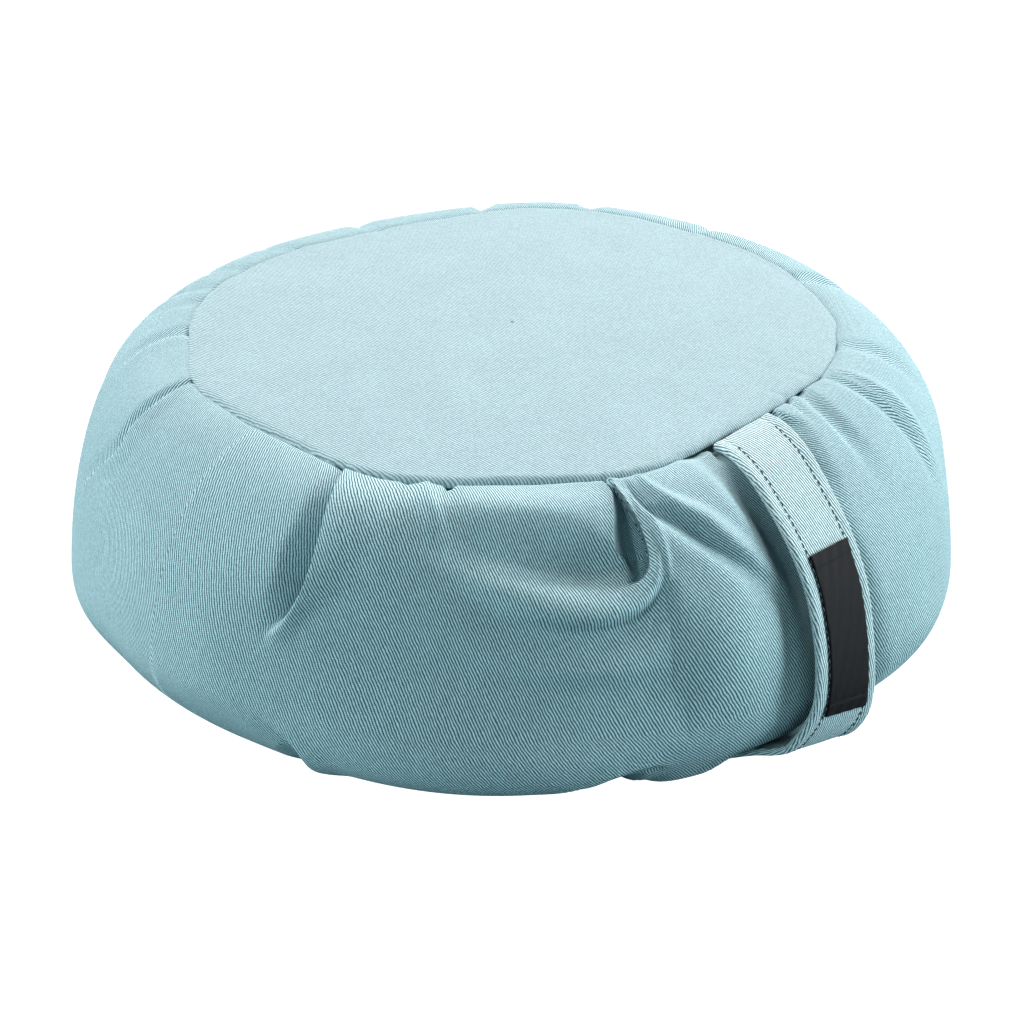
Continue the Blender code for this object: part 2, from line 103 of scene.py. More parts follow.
# Soft creases: each a smooth line of rows, out where depth is above 0 and in where it is below.
CREASES = {
    # (angle, run, depth, reach to the left, reach to the right)
    "rolled_hook": (
        (-31.9, 0.1, 0.4, 3, 7), (-31.7, 0.15, 1.4, 3.5, 7), (-31.4, 0.19, 2.4, 4, 7),
        (-31.4, 0.225, 3.4, 4.5, 6.5), (-32.2, 0.255, 4.4, 5, 6), (-34.2, 0.282, 5.4, 6.5, 5.6),
        (-37, 0.296, 6.6, 10, 5.8), (-40.5, 0.301, 7.6, 13, 6), (-44, 0.296, 7.6, 14, 6.5),
        (-48, 0.281, 6.2, 14, 7), (-52.5, 0.258, 3.6, 14, 7.5), (-57.5, 0.23, 0, 12, 8),
    ),
    "below_hook": (
        (-30.4, 0.25, 0, 3.5, 5), (-31.4, 0.28, -2, 4, 6), (-33.2, 0.306, -3.2, 4.5, 8),
        (-36.6, 0.323, -3.8, 5, 12), (-40.5, 0.33, -4, 5, 13), (-44, 0.329, -3.8, 5, 14),
        (-48, 0.318, -2.8, 5, 14), (-52, 0.3, -1.2, 5, 13), (-56, 0.277, 0, 6, 12),
    ),
    "right_of_hook": (
        (-31, 0.12, 0.6, 2.6, 16), (-30.6, 0.16, 1.8, 3, 20), (-30.2, 0.2, 3, 3.2, 22),
        (-30.1, 0.24, 3.6, 3.6, 24), (-30.6, 0.275, 3.4, 4.6, 24), (-31.9, 0.305, 2.4, 6, 22),
        (-33.6, 0.33, 1.2, 7, 18), (-36, 0.35, 0, 8, 14),
    ),
    "valley_left_of_hollow": (
        (-34.6, 0.222, -1.5, 7, 6), (-37.5, 0.229, -5.4, 14, 8), (-41, 0.228, -8, 20, 9),
        (-46, 0.216, -8, 22, 10), (-51, 0.202, -6.2, 22, 11), (-56, 0.188, -4.2, 20, 11),
        (-61, 0.172, -2.2, 18, 11), (-67, 0.15, 0, 14, 10),
    ),
    "fan_trough": (
        (-32.1, 0.03, -0.6, 2.4, 2.4), (-31.6, 0.074, -1.8, 3.6, 3), (-30.4, 0.118, -3, 5, 3.8),
        (-27.9, 0.148, -3.6, 6, 4.6), (-24.8, 0.189, -3.6, 6.5, 5), (-22.2, 0.228, -3.2, 7.5, 5.2),
        (-19.5, 0.267, -2.4, 8.5, 5.5), (-15.5, 0.325, -1, 10, 6), (-11.5, 0.38, 0, 12, 7),
    ),
    "fan_crest": (
        (-29.4, 0.014, 0.8, 2.4, 4), (-29.3, 0.05, 1.8, 3, 5), (-27.9, 0.097, 3, 4, 6.5),
        (-25.7, 0.136, 3.7, 4.6, 8), (-23.2, 0.168, 3.9, 5, 8.5), (-20.8, 0.21, 3.5, 5.2, 9),
        (-18.5, 0.252, 2.6, 5.5, 9), (-15, 0.31, 1, 6.5, 9), (-11, 0.37, 0, 7.5, 10),
    ),
    "fan_shoulder": (
        (-32.5, 0.048, 0.5, 2, 2.5), (-32, 0.1, 1, 3, 3.5), (-31, 0.142, 1.5, 4.5, 4.5),
        (-29.2, 0.185, 1.9, 8, 5), (-26.2, 0.222, 1.8, 11, 5.5), (-22.6, 0.263, 1.3, 13, 6),
        (-18.5, 0.315, 0.5, 13, 7), (-14.5, 0.36, 0, 12, 8),
    ),
    "soft_roll": (
        (-30, 0.372, 0.5, 9, 8), (-37, 0.38, 1.8, 9, 8), (-44, 0.378, 2, 9, 8), (-51, 0.366, 0.8, 9, 8),
        (-57, 0.345, 0, 9, 8),
    ),
    "soft_dip": (
        (-28, 0.41, -0.4, 7, 12), (-36, 0.425, -2, 7, 12), (-44, 0.422, -2, 7, 12), (-52, 0.4, -0.4, 7, 12),
    ),
    "low_dip": (
        (-26, 0.47, -0.4, 9, 14), (-36, 0.482, -1.8, 9, 14), (-46, 0.485, -1.6, 9, 14),
        (-56, 0.47, -0.3, 9, 14),
    ),
    "notch_at_floor": (
        (-34.4, 0.63, 0, 18, 3.5), (-34.3, 0.68, -3.4, 20, 4), (-34.2, 0.74, -5.6, 22, 5),
        (-34.6, 0.85, -5.6, 20, 6), (-35.5, 1, -3, 16, 8),
    ),
    "pucker_bright": (
        (-64.6, 0, 0.8, 4, 4), (-63.8, 0.05, 2, 6, 4), (-62.4, 0.1, 2.2, 7, 4.5), (-60.8, 0.145, 1.2, 8, 5),
        (-59, 0.19, 0, 8, 6),
    ),
    "pucker_dark": (
        (-61, 0, -3.4, 4, 4), (-60.6, 0.05, -2.7, 4, 5), (-59.8, 0.1, -1.7, 4.5, 7),
        (-58.6, 0.15, -0.7, 5, 9), (-57.5, 0.2, 0, 6, 10),
    ),
    "small_pucker": (
        (-68, 0, -1.4, 4, 5), (-67.2, 0.04, -1, 5, 5), (-65.8, 0.1, 0, 6, 5),
    ),
    "left_crease_in": (
        (-122.8, 0, -2, 5, 1.5), (-121.4, 0.072, -2.7, 7, 1.4), (-121.1, 0.174, -2.9, 7.5, 1.4),
        (-120.6, 0.235, -2.6, 7, 1.5), (-124.4, 0.3, -1.6, 7, 2), (-128.5, 0.36, 0, 7, 3),
    ),
    "left_crease_out": (
        (-121.8, 0, 0.4, 1.3, 7), (-120.2, 0.072, 1, 1.3, 10), (-119.9, 0.174, 1.4, 1.3, 12),
        (-119.4, 0.235, 1.3, 1.3, 10), (-123.2, 0.3, 0.7, 1.6, 8), (-127.5, 0.36, 0, 2.4, 7),
    ),
    "left_pucker": (
        (-142.9, 0, -2.9, 8, 3.2), (-142.2, 0.08, -2.6, 9, 2.8), (-141.9, 0.15, -1.7, 9, 3.2),
        (-142.2, 0.23, 0, 9, 4),
    ),
    "left_pucker_rim": (
        (-140.9, 0, 0.6, 3, 7), (-140.2, 0.08, 1, 3, 8), (-139.9, 0.15, 0.7, 3, 8), (-140.2, 0.22, 0, 4, 8),
    ),
    "left_pucker_behind": (
        (-155.4, 0, -2, 7, 3.5), (-155, 0.09, -1.8, 7, 3.5), (-157, 0.17, -1.2, 7, 4), (-158, 0.24, 0, 8, 5),
    ),
    "right_of_strap": (
        (16.2, 0, -1.8, 4, 7), (13.2, 0.06, -2.8, 5, 8), (11.4, 0.13, -2.6, 6, 9), (10.6, 0.19, -1.5, 7, 10),
        (10, 0.27, 0, 8, 10),
    ),
    "by_strap_puckers": (
        (12, 0, -1.6, 3, 3), (10, 0.04, -1.2, 3, 3), (8, 0.09, 0, 3, 3),
    ),
    "right_crease_in": (
        (22.8, 0, -0.5, 5, 2.8), (23.2, 0.1, -1.9, 7, 2.8), (24, 0.19, -2.6, 8, 2.5),
        (24.4, 0.27, -1.8, 8, 2.8), (24.6, 0.36, 0, 8, 3.5),
    ),
    "right_crease_out": (
        (25.6, 0, 0.3, 2.1, 7), (26, 0.1, 1.2, 2.1, 9), (26.4, 0.19, 1.8, 2.1, 10), (26.6, 0.27, 1, 2.1, 10),
        (26.8, 0.34, 0, 2.8, 10),
    ),
}
CREASE_STEPS = 28
CREASE_FADE = 9.0         # millimetres past a crease's ends
# Broad swells of the filling, in the creases' columns.
SWELLS = {
    "front_shoulder": (
        (-92, 0.13, 0, 20, 20), (-82, 0.13, 1.4, 22, 24), (-72, 0.13, 4.8, 26, 28), (-60, 0.13, 6.4, 26, 28),
        (-48, 0.125, 5.4, 26, 22), (-40, 0.11, 2.8, 22, 16), (-34, 0.1, 0.4, 18, 14),
    ),
    "front_waist": (
        (-90, 0.41, 0, 30, 30), (-77, 0.39, -4.2, 38, 36), (-65, 0.385, -8, 40, 38), (-53, 0.4, -7.4, 36, 36),
        (-41, 0.45, -3, 26, 32), (-32, 0.48, 0, 24, 28),
    ),
    "front_belly": (
        (-88, 0.6, 0, 24, 24), (-74, 0.61, 2.4, 28, 26), (-60, 0.61, 3.6, 30, 26), (-46, 0.615, 2.8, 28, 24),
        (-35, 0.62, 0, 24, 20),
    ),
    "right_belly": (
        (-31, 0.36, 0, 30, 30), (-28.5, 0.36, 4.5, 34, 34), (-25.5, 0.365, 8.5, 36, 38),
        (-22, 0.37, 8.5, 36, 38), (-18, 0.37, 3.5, 34, 34), (-14.5, 0.37, 0, 30, 30),
    ),
    "right_lobe": (
        (-31.5, 0.75, 0, 20, 22), (-28.5, 0.755, 3, 22, 24), (-24, 0.765, 4, 22, 24), (-18, 0.775, 4, 22, 24),
        (-12, 0.78, 2.4, 20, 22), (-6, 0.78, 0, 18, 20),
    ),
}
SWELL_REACH = 46.0        # no crease or swell is wider than this

# Knife pleats: the line of each flap's edge from the seam, and how the cloth laps along it.
# bend: above 1 where the hollow steepens to the flap, below 1 where it drops at its far side;
# in: the hollow's depth; reach: its width; crest: the flap's rise; lap: how far the flap stands over.
PLEATS = {
    "front_left": {"hollow_side": -1.0, "bend": 1.5, "rows": (
        # (angle, run, in, reach, corner, crest, fade, lap)
        (-79.8, 0, 1.2, 12, 3, 0.4, 14, 0.2), (-78.5, 0.06, 3.4, 12, 3, 1.2, 18, 0.6),
        (-77.4, 0.12, 7.6, 13, 3, 2.2, 22, 1), (-77, 0.18, 12.5, 14.5, 3, 3, 24, 1.2),
        (-77.2, 0.24, 17, 16, 3, 3.8, 20, 1.2), (-77.8, 0.285, 16.5, 15, 3, 4.4, 12, 1),
        (-79.2, 0.322, 10.5, 13, 3, 4.2, 8, 0.6), (-81, 0.355, 2.6, 11, 4, 2.2, 8, 0),
        (-83, 0.385, 0, 11, 4, 0, 9, 0),
    )},
    "front_right": {"hollow_side": -1.0, "bend": 0.6, "rows": (
        (-35, 0, 1.6, 2.2, 0.6, 0.8, 8, 0.6), (-34.6, 0.035, 4, 2.8, 0.6, 1.4, 8, 1.4),
        (-34.1, 0.065, 7.5, 4, 0.6, 2, 8, 2.8), (-33.5, 0.1, 11, 6.8, 0.8, 2.4, 8, 2.8),
        (-32.8, 0.14, 14, 10.2, 0.9, 2.6, 8.5, 3), (-32.5, 0.18, 15, 11.6, 1, 2.6, 9, 3),
        (-32.5, 0.212, 14, 11, 1.2, 2.4, 8.5, 2.6), (-33.2, 0.237, 10, 9, 1.8, 2, 7.5, 1.8),
        (-35, 0.252, 4, 7, 2.2, 1.2, 5, 0.5), (-37.4, 0.258, 0, 6, 2.4, 0.4, 5, 0),
    )},
    "bottom_right": {"hollow_side": -1.0, "bend": 1.0, "rows": (
        (-48, 0.76, 0, 10, 3, 0, 10, 0), (-45, 0.7, 1, 10, 2.5, 0.3, 10, 0.3),
        (-42.5, 0.665, 2, 10, 2, 0.6, 10, 0.8), (-39.7, 0.632, 3.4, 10, 1.6, 0.9, 11, 1.6),
        (-37.2, 0.612, 5, 9, 1.4, 1.1, 11, 2.4), (-35, 0.602, 6, 9, 1.4, 1.2, 11, 2.8),
        (-33.4, 0.603, 5, 8, 1.4, 1, 10, 2.2), (-32.2, 0.612, 2.6, 7, 1.6, 0.6, 9, 1),
        (-31.2, 0.628, 0, 6, 2, 0.2, 8, 0),
    )},
    "bottom_left": {"hollow_side": 1.0, "bend": 1.0, "rows": (
        (-71, 1, 3, 9, 2, 1, 12, 1), (-74.6, 0.84, 4.6, 11, 2, 1.6, 14, 1.6),
        (-76, 0.73, 6.4, 14, 2, 2.2, 14, 2.2), (-76.4, 0.65, 6.6, 15, 2, 2.3, 14, 2.4),
        (-77, 0.6, 5.6, 14, 2, 2, 13, 1.8), (-78.4, 0.567, 3.6, 12, 2.5, 1.4, 12, 0.8),
        (-80.4, 0.55, 1.6, 11, 3, 0.7, 12, 0.2), (-83, 0.52, 0, 11, 3, 0, 12, 0),
    )},
}

STRAP_PATH = (
    # (side, out, height, swing, drop)
    (-7, 126, 143.4, 0, 0), (-9, 134, 143.6, 0, 0), (-13, 147.5, 140.4, 0, 0.5), (-17, 160.5, 132.6, 0, 1.2),
    (-20, 170, 125.4, 0, 2), (-22.5, 178.5, 117, 0, 2.5), (-24.3, 187, 103.5, 0, 3), (-25.7, 193, 86, 0.5, 4),
    (-27, 196.4, 68, 1.2, 5), (-28, 196.9, 52.5, 3, 6.5), (-28.8, 194.6, 42.5, 4.8, 7.5),
    (-29.8, 190.9, 35.2, 4.8, 8), (-30.4, 185.4, 28.6, 3.6, 7), (-31, 177.4, 25.4, 1.5, 5.5),
    (-31.8, 168.5, 23.4, 0, 4), (-32.6, 156.5, 18.4, 0, 2), (-33.2, 143.5, 11.2, 0, 0.5),
    (-33.6, 133.5, 5.2, 0, 0), (-34, 124.5, 1.9, 0, 0),
)


def share_of(x):
    """x, held between 0 and 1."""
    return np.clip(x, 0.0, 1.0)


def smooth(x):
    x = share_of(x)
    return x * x * (3.0 - 2.0 * x)


def fading(x):
    """1 below 0, falling smoothly to 0 at 1."""
    return 1.0 - smooth(x)


def bell(x):
    """1 at 0, falling to 0 at -1 and 1."""
    return 0.5 * (1.0 + np.cos(np.pi * np.clip(x, -1.0, 1.0)))


def lopsided(x, left, right):
    return bell(np.where(x < 0.0, x / left, x / right))


def turn_between(angle, centre):
    return (angle - centre + 180.0) % 360.0 - 180.0


def seam_radius(angle):
    """The top seam's distance from the centre, round with soft flats."""
    total = np.exp(-SEAM_SHARPNESS * TOP_SEAM_RADIUS * np.ones_like(angle))
    for faces, distance in SEAM_FLATS:
        turn = np.clip(turn_between(angle, faces), -FLAT_REACH, FLAT_REACH) * STRAIGHTNESS
        total = total + np.exp(-SEAM_SHARPNESS * distance / np.cos(np.radians(turn)))
    return -np.log(total) / SEAM_SHARPNESS


def swelling(angle, height):
    total = np.zeros_like(angle)
    for centre, middle, rise, half_width, half_height in LOBES:
        total += rise * bell(turn_between(angle, centre) / half_width) * bell((height - middle) / half_height)
    return total


def band_profile(angle, run):
    """The band's plain shape: its radius and height before the folds."""
    top = seam_radius(angle)
    upper = share_of(run / WIDEST_RUN) * math.pi / 2
    lower = share_of((run - WIDEST_RUN) / (1.0 - WIDEST_RUN)) * math.pi / 2
    rise = TOP_SEAM_HEIGHT - WIDEST_HEIGHT
    drop = WIDEST_HEIGHT - BOTTOM_SEAM_HEIGHT
    upper_radius = top + (HALF_WIDTH - top) * np.sin(upper)
    upper_height = WIDEST_HEIGHT + rise * np.cos(upper)
    undercut = (HALF_WIDTH - BOTTOM_SEAM_RADIUS) * np.abs(np.cos(lower)) ** UNDERCUT
    lower_height = WIDEST_HEIGHT - drop * np.sin(lower)
    above = run < WIDEST_RUN
    radius = np.where(above, upper_radius, BOTTOM_SEAM_RADIUS + undercut)
    height = np.where(above, upper_height, lower_height)
    return radius + swelling(angle, height), height


def fold_depth(angle, run):
    """The sum of the folds at a place on the band, in millimetres along its normal."""
    total = np.zeros_like(angle)
    for row in FOLDS:
        from_angle, from_run, to_angle, to_run, bow, depth, left, right, start = row
        along_x = math.radians(to_angle - from_angle) * PATTERN_RADIUS
        along_y = (to_run - from_run) * PATTERN_LENGTH
        line = math.hypot(along_x, along_y)
        x = np.radians(turn_between(angle, from_angle)) * PATTERN_RADIUS
        y = (run - from_run) * PATTERN_LENGTH
        u = (x * along_x + y * along_y) / line**2
        side = math.copysign(1.0, along_y)
        s = side * (x * along_y - y * along_x) / line
        s = s - bow * 4.0 * share_of(u) * (1.0 - share_of(u))
        rising = start + (1.0 - start) * smooth(u / FOLD_DEEPEST)
        before = start * fading(-u / FOLD_RUNS_BACK)
        falling = fading((u - FOLD_FADES) / (1.0 - FOLD_FADES))
        envelope = np.where(u < 0.0, before, rising * falling)
        total += depth * envelope * lopsided(s, left, right)
    return total


def carried(rows, slopes, i, f, span=1.0):
    """Rows taken a share f of the way from row i to the next, on the smooth curve through them."""
    f = f[:, None]
    return ((2 * f**3 - 3 * f**2 + 1) * rows[i] + (f**3 - 2 * f**2 + f) * span * slopes[i]
            + (-2 * f**3 + 3 * f**2) * rows[i + 1] + (f**3 - f**2) * span * slopes[i + 1])


def smooth_rows(rows, steps):
    """Rows of a table carried along a smooth curve through them, evenly spaced by share."""
    rows = np.array(rows)
    places = np.linspace(0.0, len(rows) - 1.0, steps)
    i = np.minimum(places.astype(int), len(rows) - 2)
    return carried(rows, np.gradient(rows, axis=0), i, places - i)


def beside_line(angle, run, rows):
    """Where a place on the band lies beside a smooth line of rows, within the line's reach.

    Returns the signed distance in millimetres (above 0 on the right of the way along), the
    rows' other columns there, the distance past the line's ends, and the way square to it.
    """
    first = rows[0, 0]
    px = np.radians(turn_between(angle, first)) * PATTERN_RADIUS
    py = run * PATTERN_LENGTH
    xs = np.radians(rows[:, 0] - first) * PATTERN_RADIUS
    ys = rows[:, 1] * PATTERN_LENGTH
    best = np.full(px.shape, 1e9)
    side, past, ax, ay, place = (np.zeros_like(px) for _ in range(5))
    last = len(xs) - 2
    for i in range(last + 1):
        dx, dy = xs[i + 1] - xs[i], ys[i + 1] - ys[i]
        length = math.hypot(dx, dy)
        dx, dy = dx / length, dy / length
        along = (px - xs[i]) * dx + (py - ys[i]) * dy
        on = np.clip(along, -1e3 if i == 0 else 0.0, 1e3 if i == last else length)
        far = np.hypot(px - xs[i] - on * dx, py - ys[i] - on * dy)
        over = np.maximum(0.0, np.maximum(-along, along - length))
        cost = far + (over if i in (0, last) else 0.0)
        nearer = cost < best
        best = np.where(nearer, cost, best)
        sign = np.sign((px - xs[i]) * dy - (py - ys[i]) * dx)
        side = np.where(nearer, sign * far, side)
        place = np.where(nearer, i + share_of(along / length), place)
        past = np.where(nearer, over, past)
        ax = np.where(nearer, dy, ax)
        ay = np.where(nearer, -dx, ay)
    steps = np.arange(len(xs), dtype=float)
    others = [np.interp(place, steps, rows[:, k]) for k in range(2, rows.shape[1])]
    return side, others, past, ax, ay


def near_rows(angle, run, rows, reach):
    """Which places lie within reach, in millimetres, of a table's rows."""
    span, rise = math.degrees(reach / PATTERN_RADIUS), reach / PATTERN_LENGTH
    low, high = rows[:, :2].min(axis=0), rows[:, :2].max(axis=0)
    turn = np.abs(turn_between(angle, 0.5 * (low[0] + high[0])))
    return (turn < 0.5 * (high[0] - low[0]) + span) & (run > low[1] - rise) & (run < high[1] + rise)


def crease_depth(angle, run):
    """The sum of the creases and swells at a place on the band, in millimetres along its normal."""
    total = np.zeros_like(angle)
    for table in (*CREASES.values(), *SWELLS.values()):
        rows = smooth_rows(table, CREASE_STEPS)
        near = near_rows(angle, run, rows, SWELL_REACH)
        s, (depth, left, right), past, _, _ = beside_line(angle[near], run[near], rows)
        total[near] += depth * lopsided(s, left, right) * fading(past / CREASE_FADE)
    return total


FLAP_EDGE = 1.5           # half the thickness of cloth that turns at a flap's edge
PLEAT_FADE = 7.0          # millimetres past a pleat's ends
PLEAT_STEPS = 40
PLEAT_REACH = 34.0        # no pleat is wider than this
UNDERLAP, OVERLAP = 14.0, 16.0     # reach of the lap on the hollow's side and on the flap's
LEAST_CORNER, LEAST_REACH = 0.4, 1.0


def pleat_places(angle, run, table):
    """The places near a pleat, and where they lie beside its line."""
    rows = smooth_rows(table, PLEAT_STEPS)
    near = near_rows(angle, run, rows, PLEAT_REACH)
    return near, beside_line(angle[near], run[near], rows)


def soft_ramp(u, corner):
    """0 below 0 and u above it, with the corner rounded over its width each way."""
    return np.where(u > corner, u, np.where(u < -corner, 0.0, (u + corner) ** 2 / (4.0 * corner)))


def pleat_shift(angle, run):
    """How the knife pleats move the cloth: sideways along the band, and in or out."""
    move_x, move_y, depth = (np.zeros_like(angle) for _ in range(3))
    for pleat in PLEATS.values():
        near, (s, columns, past, ax, ay) = pleat_places(angle, run, pleat["rows"])
        sunk, reach, corner, crest, fade, lap = columns
        flip = -pleat["hollow_side"]
        q = s * flip
        end = fading(past / PLEAT_FADE)
        sunk, crest, lap = (np.maximum(value * end, 0.0) for value in (sunk, crest, lap))
        corner, reach = np.maximum(corner, LEAST_CORNER), np.maximum(reach, LEAST_REACH)
        plane = sunk * share_of(soft_ramp(q + reach, corner) / reach) ** pleat["bend"]
        turn = smooth((q + FLAP_EDGE * 0.4) / (2.0 * FLAP_EDGE))
        rise = crest * bell(np.clip(q - FLAP_EDGE, 0.0, None) / fade)
        depth[near] += rise * turn - np.where(q < 0.0, plane, sunk) * (1.0 - turn)
        # the hollow's cloth runs on under the flap, and the flap's edge comes back over it
        under = lap * lopsided(q, UNDERLAP, FLAP_EDGE * 1.3)
        over = lap * lopsided(q - 2.0 * FLAP_EDGE, FLAP_EDGE * 1.5, OVERLAP)
        shift = (under - over) * flip
        move_x[near] += shift * ax
        move_y[near] += shift * ay
    return move_x, move_y, depth


def strap_frames(count):
    """The strap's middle line at even shares, the way across it and its outward normal."""
    rows = np.array(STRAP_PATH) * (1.0, -1.0, 1.0, 1.0, 1.0)
    knots = lengths_along(rows[:, :3])
    stations = np.linspace(0.0, 1.0, count) * knots[-1]
    i = np.minimum(np.searchsorted(knots, stations, side="right") - 1, len(rows) - 2)
    span = knots[i + 1] - knots[i]
    curve = carried(rows, np.gradient(rows, knots, axis=0), i, (stations - knots[i]) / span, span[:, None])
    middle, swing, drop = curve[:, :3], curve[:, 3], curve[:, 4]
    level = np.sqrt(STRAP_WIDTH**2 - swing**2 - drop**2)
    across = np.stack([level, -swing, -drop], axis=1) / STRAP_WIDTH
    normals = np.cross(across, np.gradient(middle, axis=0))
    normals /= np.linalg.norm(normals, axis=1)[:, None]
    away = np.sum(normals * (middle - (0.0, 0.0, WIDEST_HEIGHT)), axis=1)
    return middle, across, normals * np.sign(away)[:, None]


def lengths_along(middle):
    steps = np.linalg.norm(np.diff(middle, axis=0), axis=1)
    return np.concatenate([[0.0], np.cumsum(steps)])


SEAT_FRAMES = strap_frames(120)
SEAT_BY_SEAM = 0.25       # share of the ease that is left by the seam, from which it widens
SEAT_WIDENS = 4.0, 14.0   # from how far off the seam, and over how far


def strap_seat(points, from_seam):
    """How far points of the band have to sink to lie under the strap, in millimetres."""
    sink = np.zeros(len(points))
    near = np.nonzero((points[:, 1] < -SEAT_REACH) & (np.abs(points[:, 0] - SEAT_MIDDLE) < SEAT_HALF))[0]
    middle, across, normals = SEAT_FRAMES
    inner = middle - normals * STRAP_THICKNESS
    half = STRAP_WIDTH / 2
    close = points[near]
    sideways = np.clip(close[:, None, 0] - inner[None, :, 0], -half, half)
    away = close[:, None, :] - (inner[None, :, :] + sideways[:, :, None] * across[None, :, :])
    nearest = np.argmin(away[:, :, 1] ** 2 + away[:, :, 2] ** 2, axis=1)
    beside = np.abs(close[:, 0] - inner[nearest, 0]) - half - STRAP_THICKNESS / 2
    start, over = SEAT_WIDENS
    ease = SEAT_EASE * (SEAT_BY_SEAM + (1.0 - SEAT_BY_SEAM) * smooth((from_seam[near] - start) / over))
    cover = fading(beside / ease)
    which = np.arange(len(near))
    proud = np.sum(away[which, nearest] * normals[nearest], axis=1) + SEAT_CLEARANCE
    sink[near] = np.maximum(proud, 0.0) * cover
    return sink


SEAM_LOOK = (
    # (angle, lip, band dip, band roll)
    (-180, 0.9, 0.7, 3), (-135, 0.9, 0.7, 3), (-118, 1.1, 0.9, 3), (-104, 1.6, 1.3, 4), (-90, 2.2, 1.9, 4.5),
    (-78, 2.8, 2.6, 5), (-62, 3.5, 3.4, 6), (-45, 3.4, 3.4, 6), (-30, 3, 2.6, 5), (-14, 2.4, 1.5, 5),
    (6, 2, 1.6, 5), (16, 1.8, 1.7, 4), (28, 1.2, 1, 3), (60, 1, 0.8, 3), (110, 0.9, 0.7, 3),
    (180, 0.9, 0.7, 3),
)
SEAM_NICKS = (
    # (angle, dip, half width in degrees)
    (-89, 0.6, 2.4), (-79.6, 0.8, 1.4), (-72, 0.8, 1.6), (-62, 1.3, 2.6), (-58.5, 0.9, 1.4), (-47, 0.5, 2.2),
    (-35.2, 1, 1.2), (-29, 1.2, 1.2), (12, 0.8, 1.6), (22, 0.7, 1.8), (36, 0.5, 2.2), (66, 0.6, 2.4),
    (94, 0.5, 2.2), (116, 0.5, 2.4), (136, 0.5, 2), (158, 0.5, 2.2), (176, 0.5, 2), (-171, 0.5, 2.2),
    (-161, 0.5, 2), (-142, 0.5, 2), (-122.5, 0.6, 2), (-103, 0.5, 2),
)
RUN_NUDGE = 0.003         # between which the band's slope is measured
SEAM_WAVES = (
    # (height, waves round the seam, turn)
    (0.5, 17, 0.6), (0.35, 31, 2.1), (0.2, 53, 4),
)
SEAM_WAVE_SHARE = 0.7
NICK_PULL = 0.5           # how far a nick draws the seam in, as a share of its dip
EDGE_WIDTH = 1.5          # of the band's dip at the seam, in widths of its roll
EDGE_POWER = 2.2


def seam_look(angle):
    """The seam at an angle: the drop of the panel's lip, the band's dip and the width of its roll."""
    turned_angle = turn_between(angle, 0.0)
    places, *looks = np.array(SEAM_LOOK).T
    return [np.interp(turned_angle, places, look) for look in looks]


def seam_nicks(angle):
    total = np.zeros_like(angle)
    for place, dip, half in SEAM_NICKS:
        total += dip * bell(turn_between(angle, place) / half)
    return total


def seam_wobble(angle):
    """Small waves of the top seam between its pleats, in millimetres."""
    a = np.radians(angle)
    waves = sum(height * np.sin(count * a + turn) for height, count, turn in SEAM_WAVES)
    return waves * SEAM_WAVE_SHARE - NICK_PULL * seam_nicks(angle)


def polar(angle, radius, height):
    a = np.radians(angle)
    return np.stack([np.sin(a) * radius, -np.cos(a) * radius, height + 0.0 * a], axis=-1)


def band_surface(angle, run, pleated=True):
    """The band's outer face as points in millimetres."""
    move_x, move_y, pleat_depth = pleat_shift(angle, run) if pleated else np.zeros((3, *angle.shape))
    lies_at = angle + np.degrees(move_x / PATTERN_RADIUS)
    lies_down = share_of(run + move_y / PATTERN_LENGTH)
    radius, height = band_profile(lies_at, lies_down)
    far, near = (np.array(band_profile(lies_at, share_of(lies_down + nudge)))
                 for nudge in (RUN_NUDGE, -RUN_NUDGE))
    along_r, along_h = far - near
    length = np.hypot(along_r, along_h)
    depth = fold_depth(lies_at, lies_down) + crease_depth(lies_at, lies_down) + pleat_depth
    radius = radius - depth * along_h / length
    height = height + depth * along_r / length
    points = polar(lies_at, radius, height)
    from_seam = run * PATTERN_LENGTH
    sink = strap_seat(points.reshape(-1, 3), from_seam.ravel()).reshape(angle.shape)
    radius = radius + sink * along_h / length
    height = height - sink * along_r / length
    _, dip, roll = seam_look(lies_at)
    edge = share_of(1.0 - from_seam / (roll * EDGE_WIDTH))
    height = height - (dip + seam_nicks(lies_at)) * edge**EDGE_POWER
    radius = radius + seam_wobble(lies_at) * edge
    return polar(lies_at, radius, np.maximum(height, OFF_FLOOR))


def put(name, data):
    """A new object in the scene."""
    made = bpy.data.objects.new(name, data)
    bpy.context.scene.collection.objects.link(made)
    return made


def new_object(name, vertices, faces, uvs=None, columns=0):
    """A smooth-shaded mesh object; uvs are one pair a vertex, in centimetres of cloth.

    Where columns is given, the weave runs on across the last column to the first, instead of
    running back round the cushion.
    """
    mesh = bpy.data.meshes.new(name)
    mesh.from_pydata([tuple(v) for v in vertices], [], faces)
    if uvs is not None:
        corner = np.zeros(len(mesh.loops), dtype=np.int32)
        mesh.loops.foreach_get("vertex_index", corner)
        uv = np.asarray(uvs, np.float32)[corner]
        if columns:
            column = (corner % columns).reshape(-1, 4)
            round_again = (column == 0) & (column.max(axis=1) == columns - 1)[:, None]
            uv[round_again.ravel(), 0] += math.radians(360.0) * WEAVE_RADIUS * CM
        mesh.uv_layers.new(name="weave").data.foreach_set("uv", uv.ravel())
    mesh.shade_smooth()
    mesh.validate()
    return put(name, mesh)


def grid_faces(rows, columns, offset=0):
    """Quads between rows of points, each row joined round on itself."""
    faces = []
    for r in range(rows - 1):
        for c in range(columns):
            d = (c + 1) % columns
            a = offset + r * columns
            b = a + columns
            faces.append((a + c, b + c, b + d, a + d))
    return faces


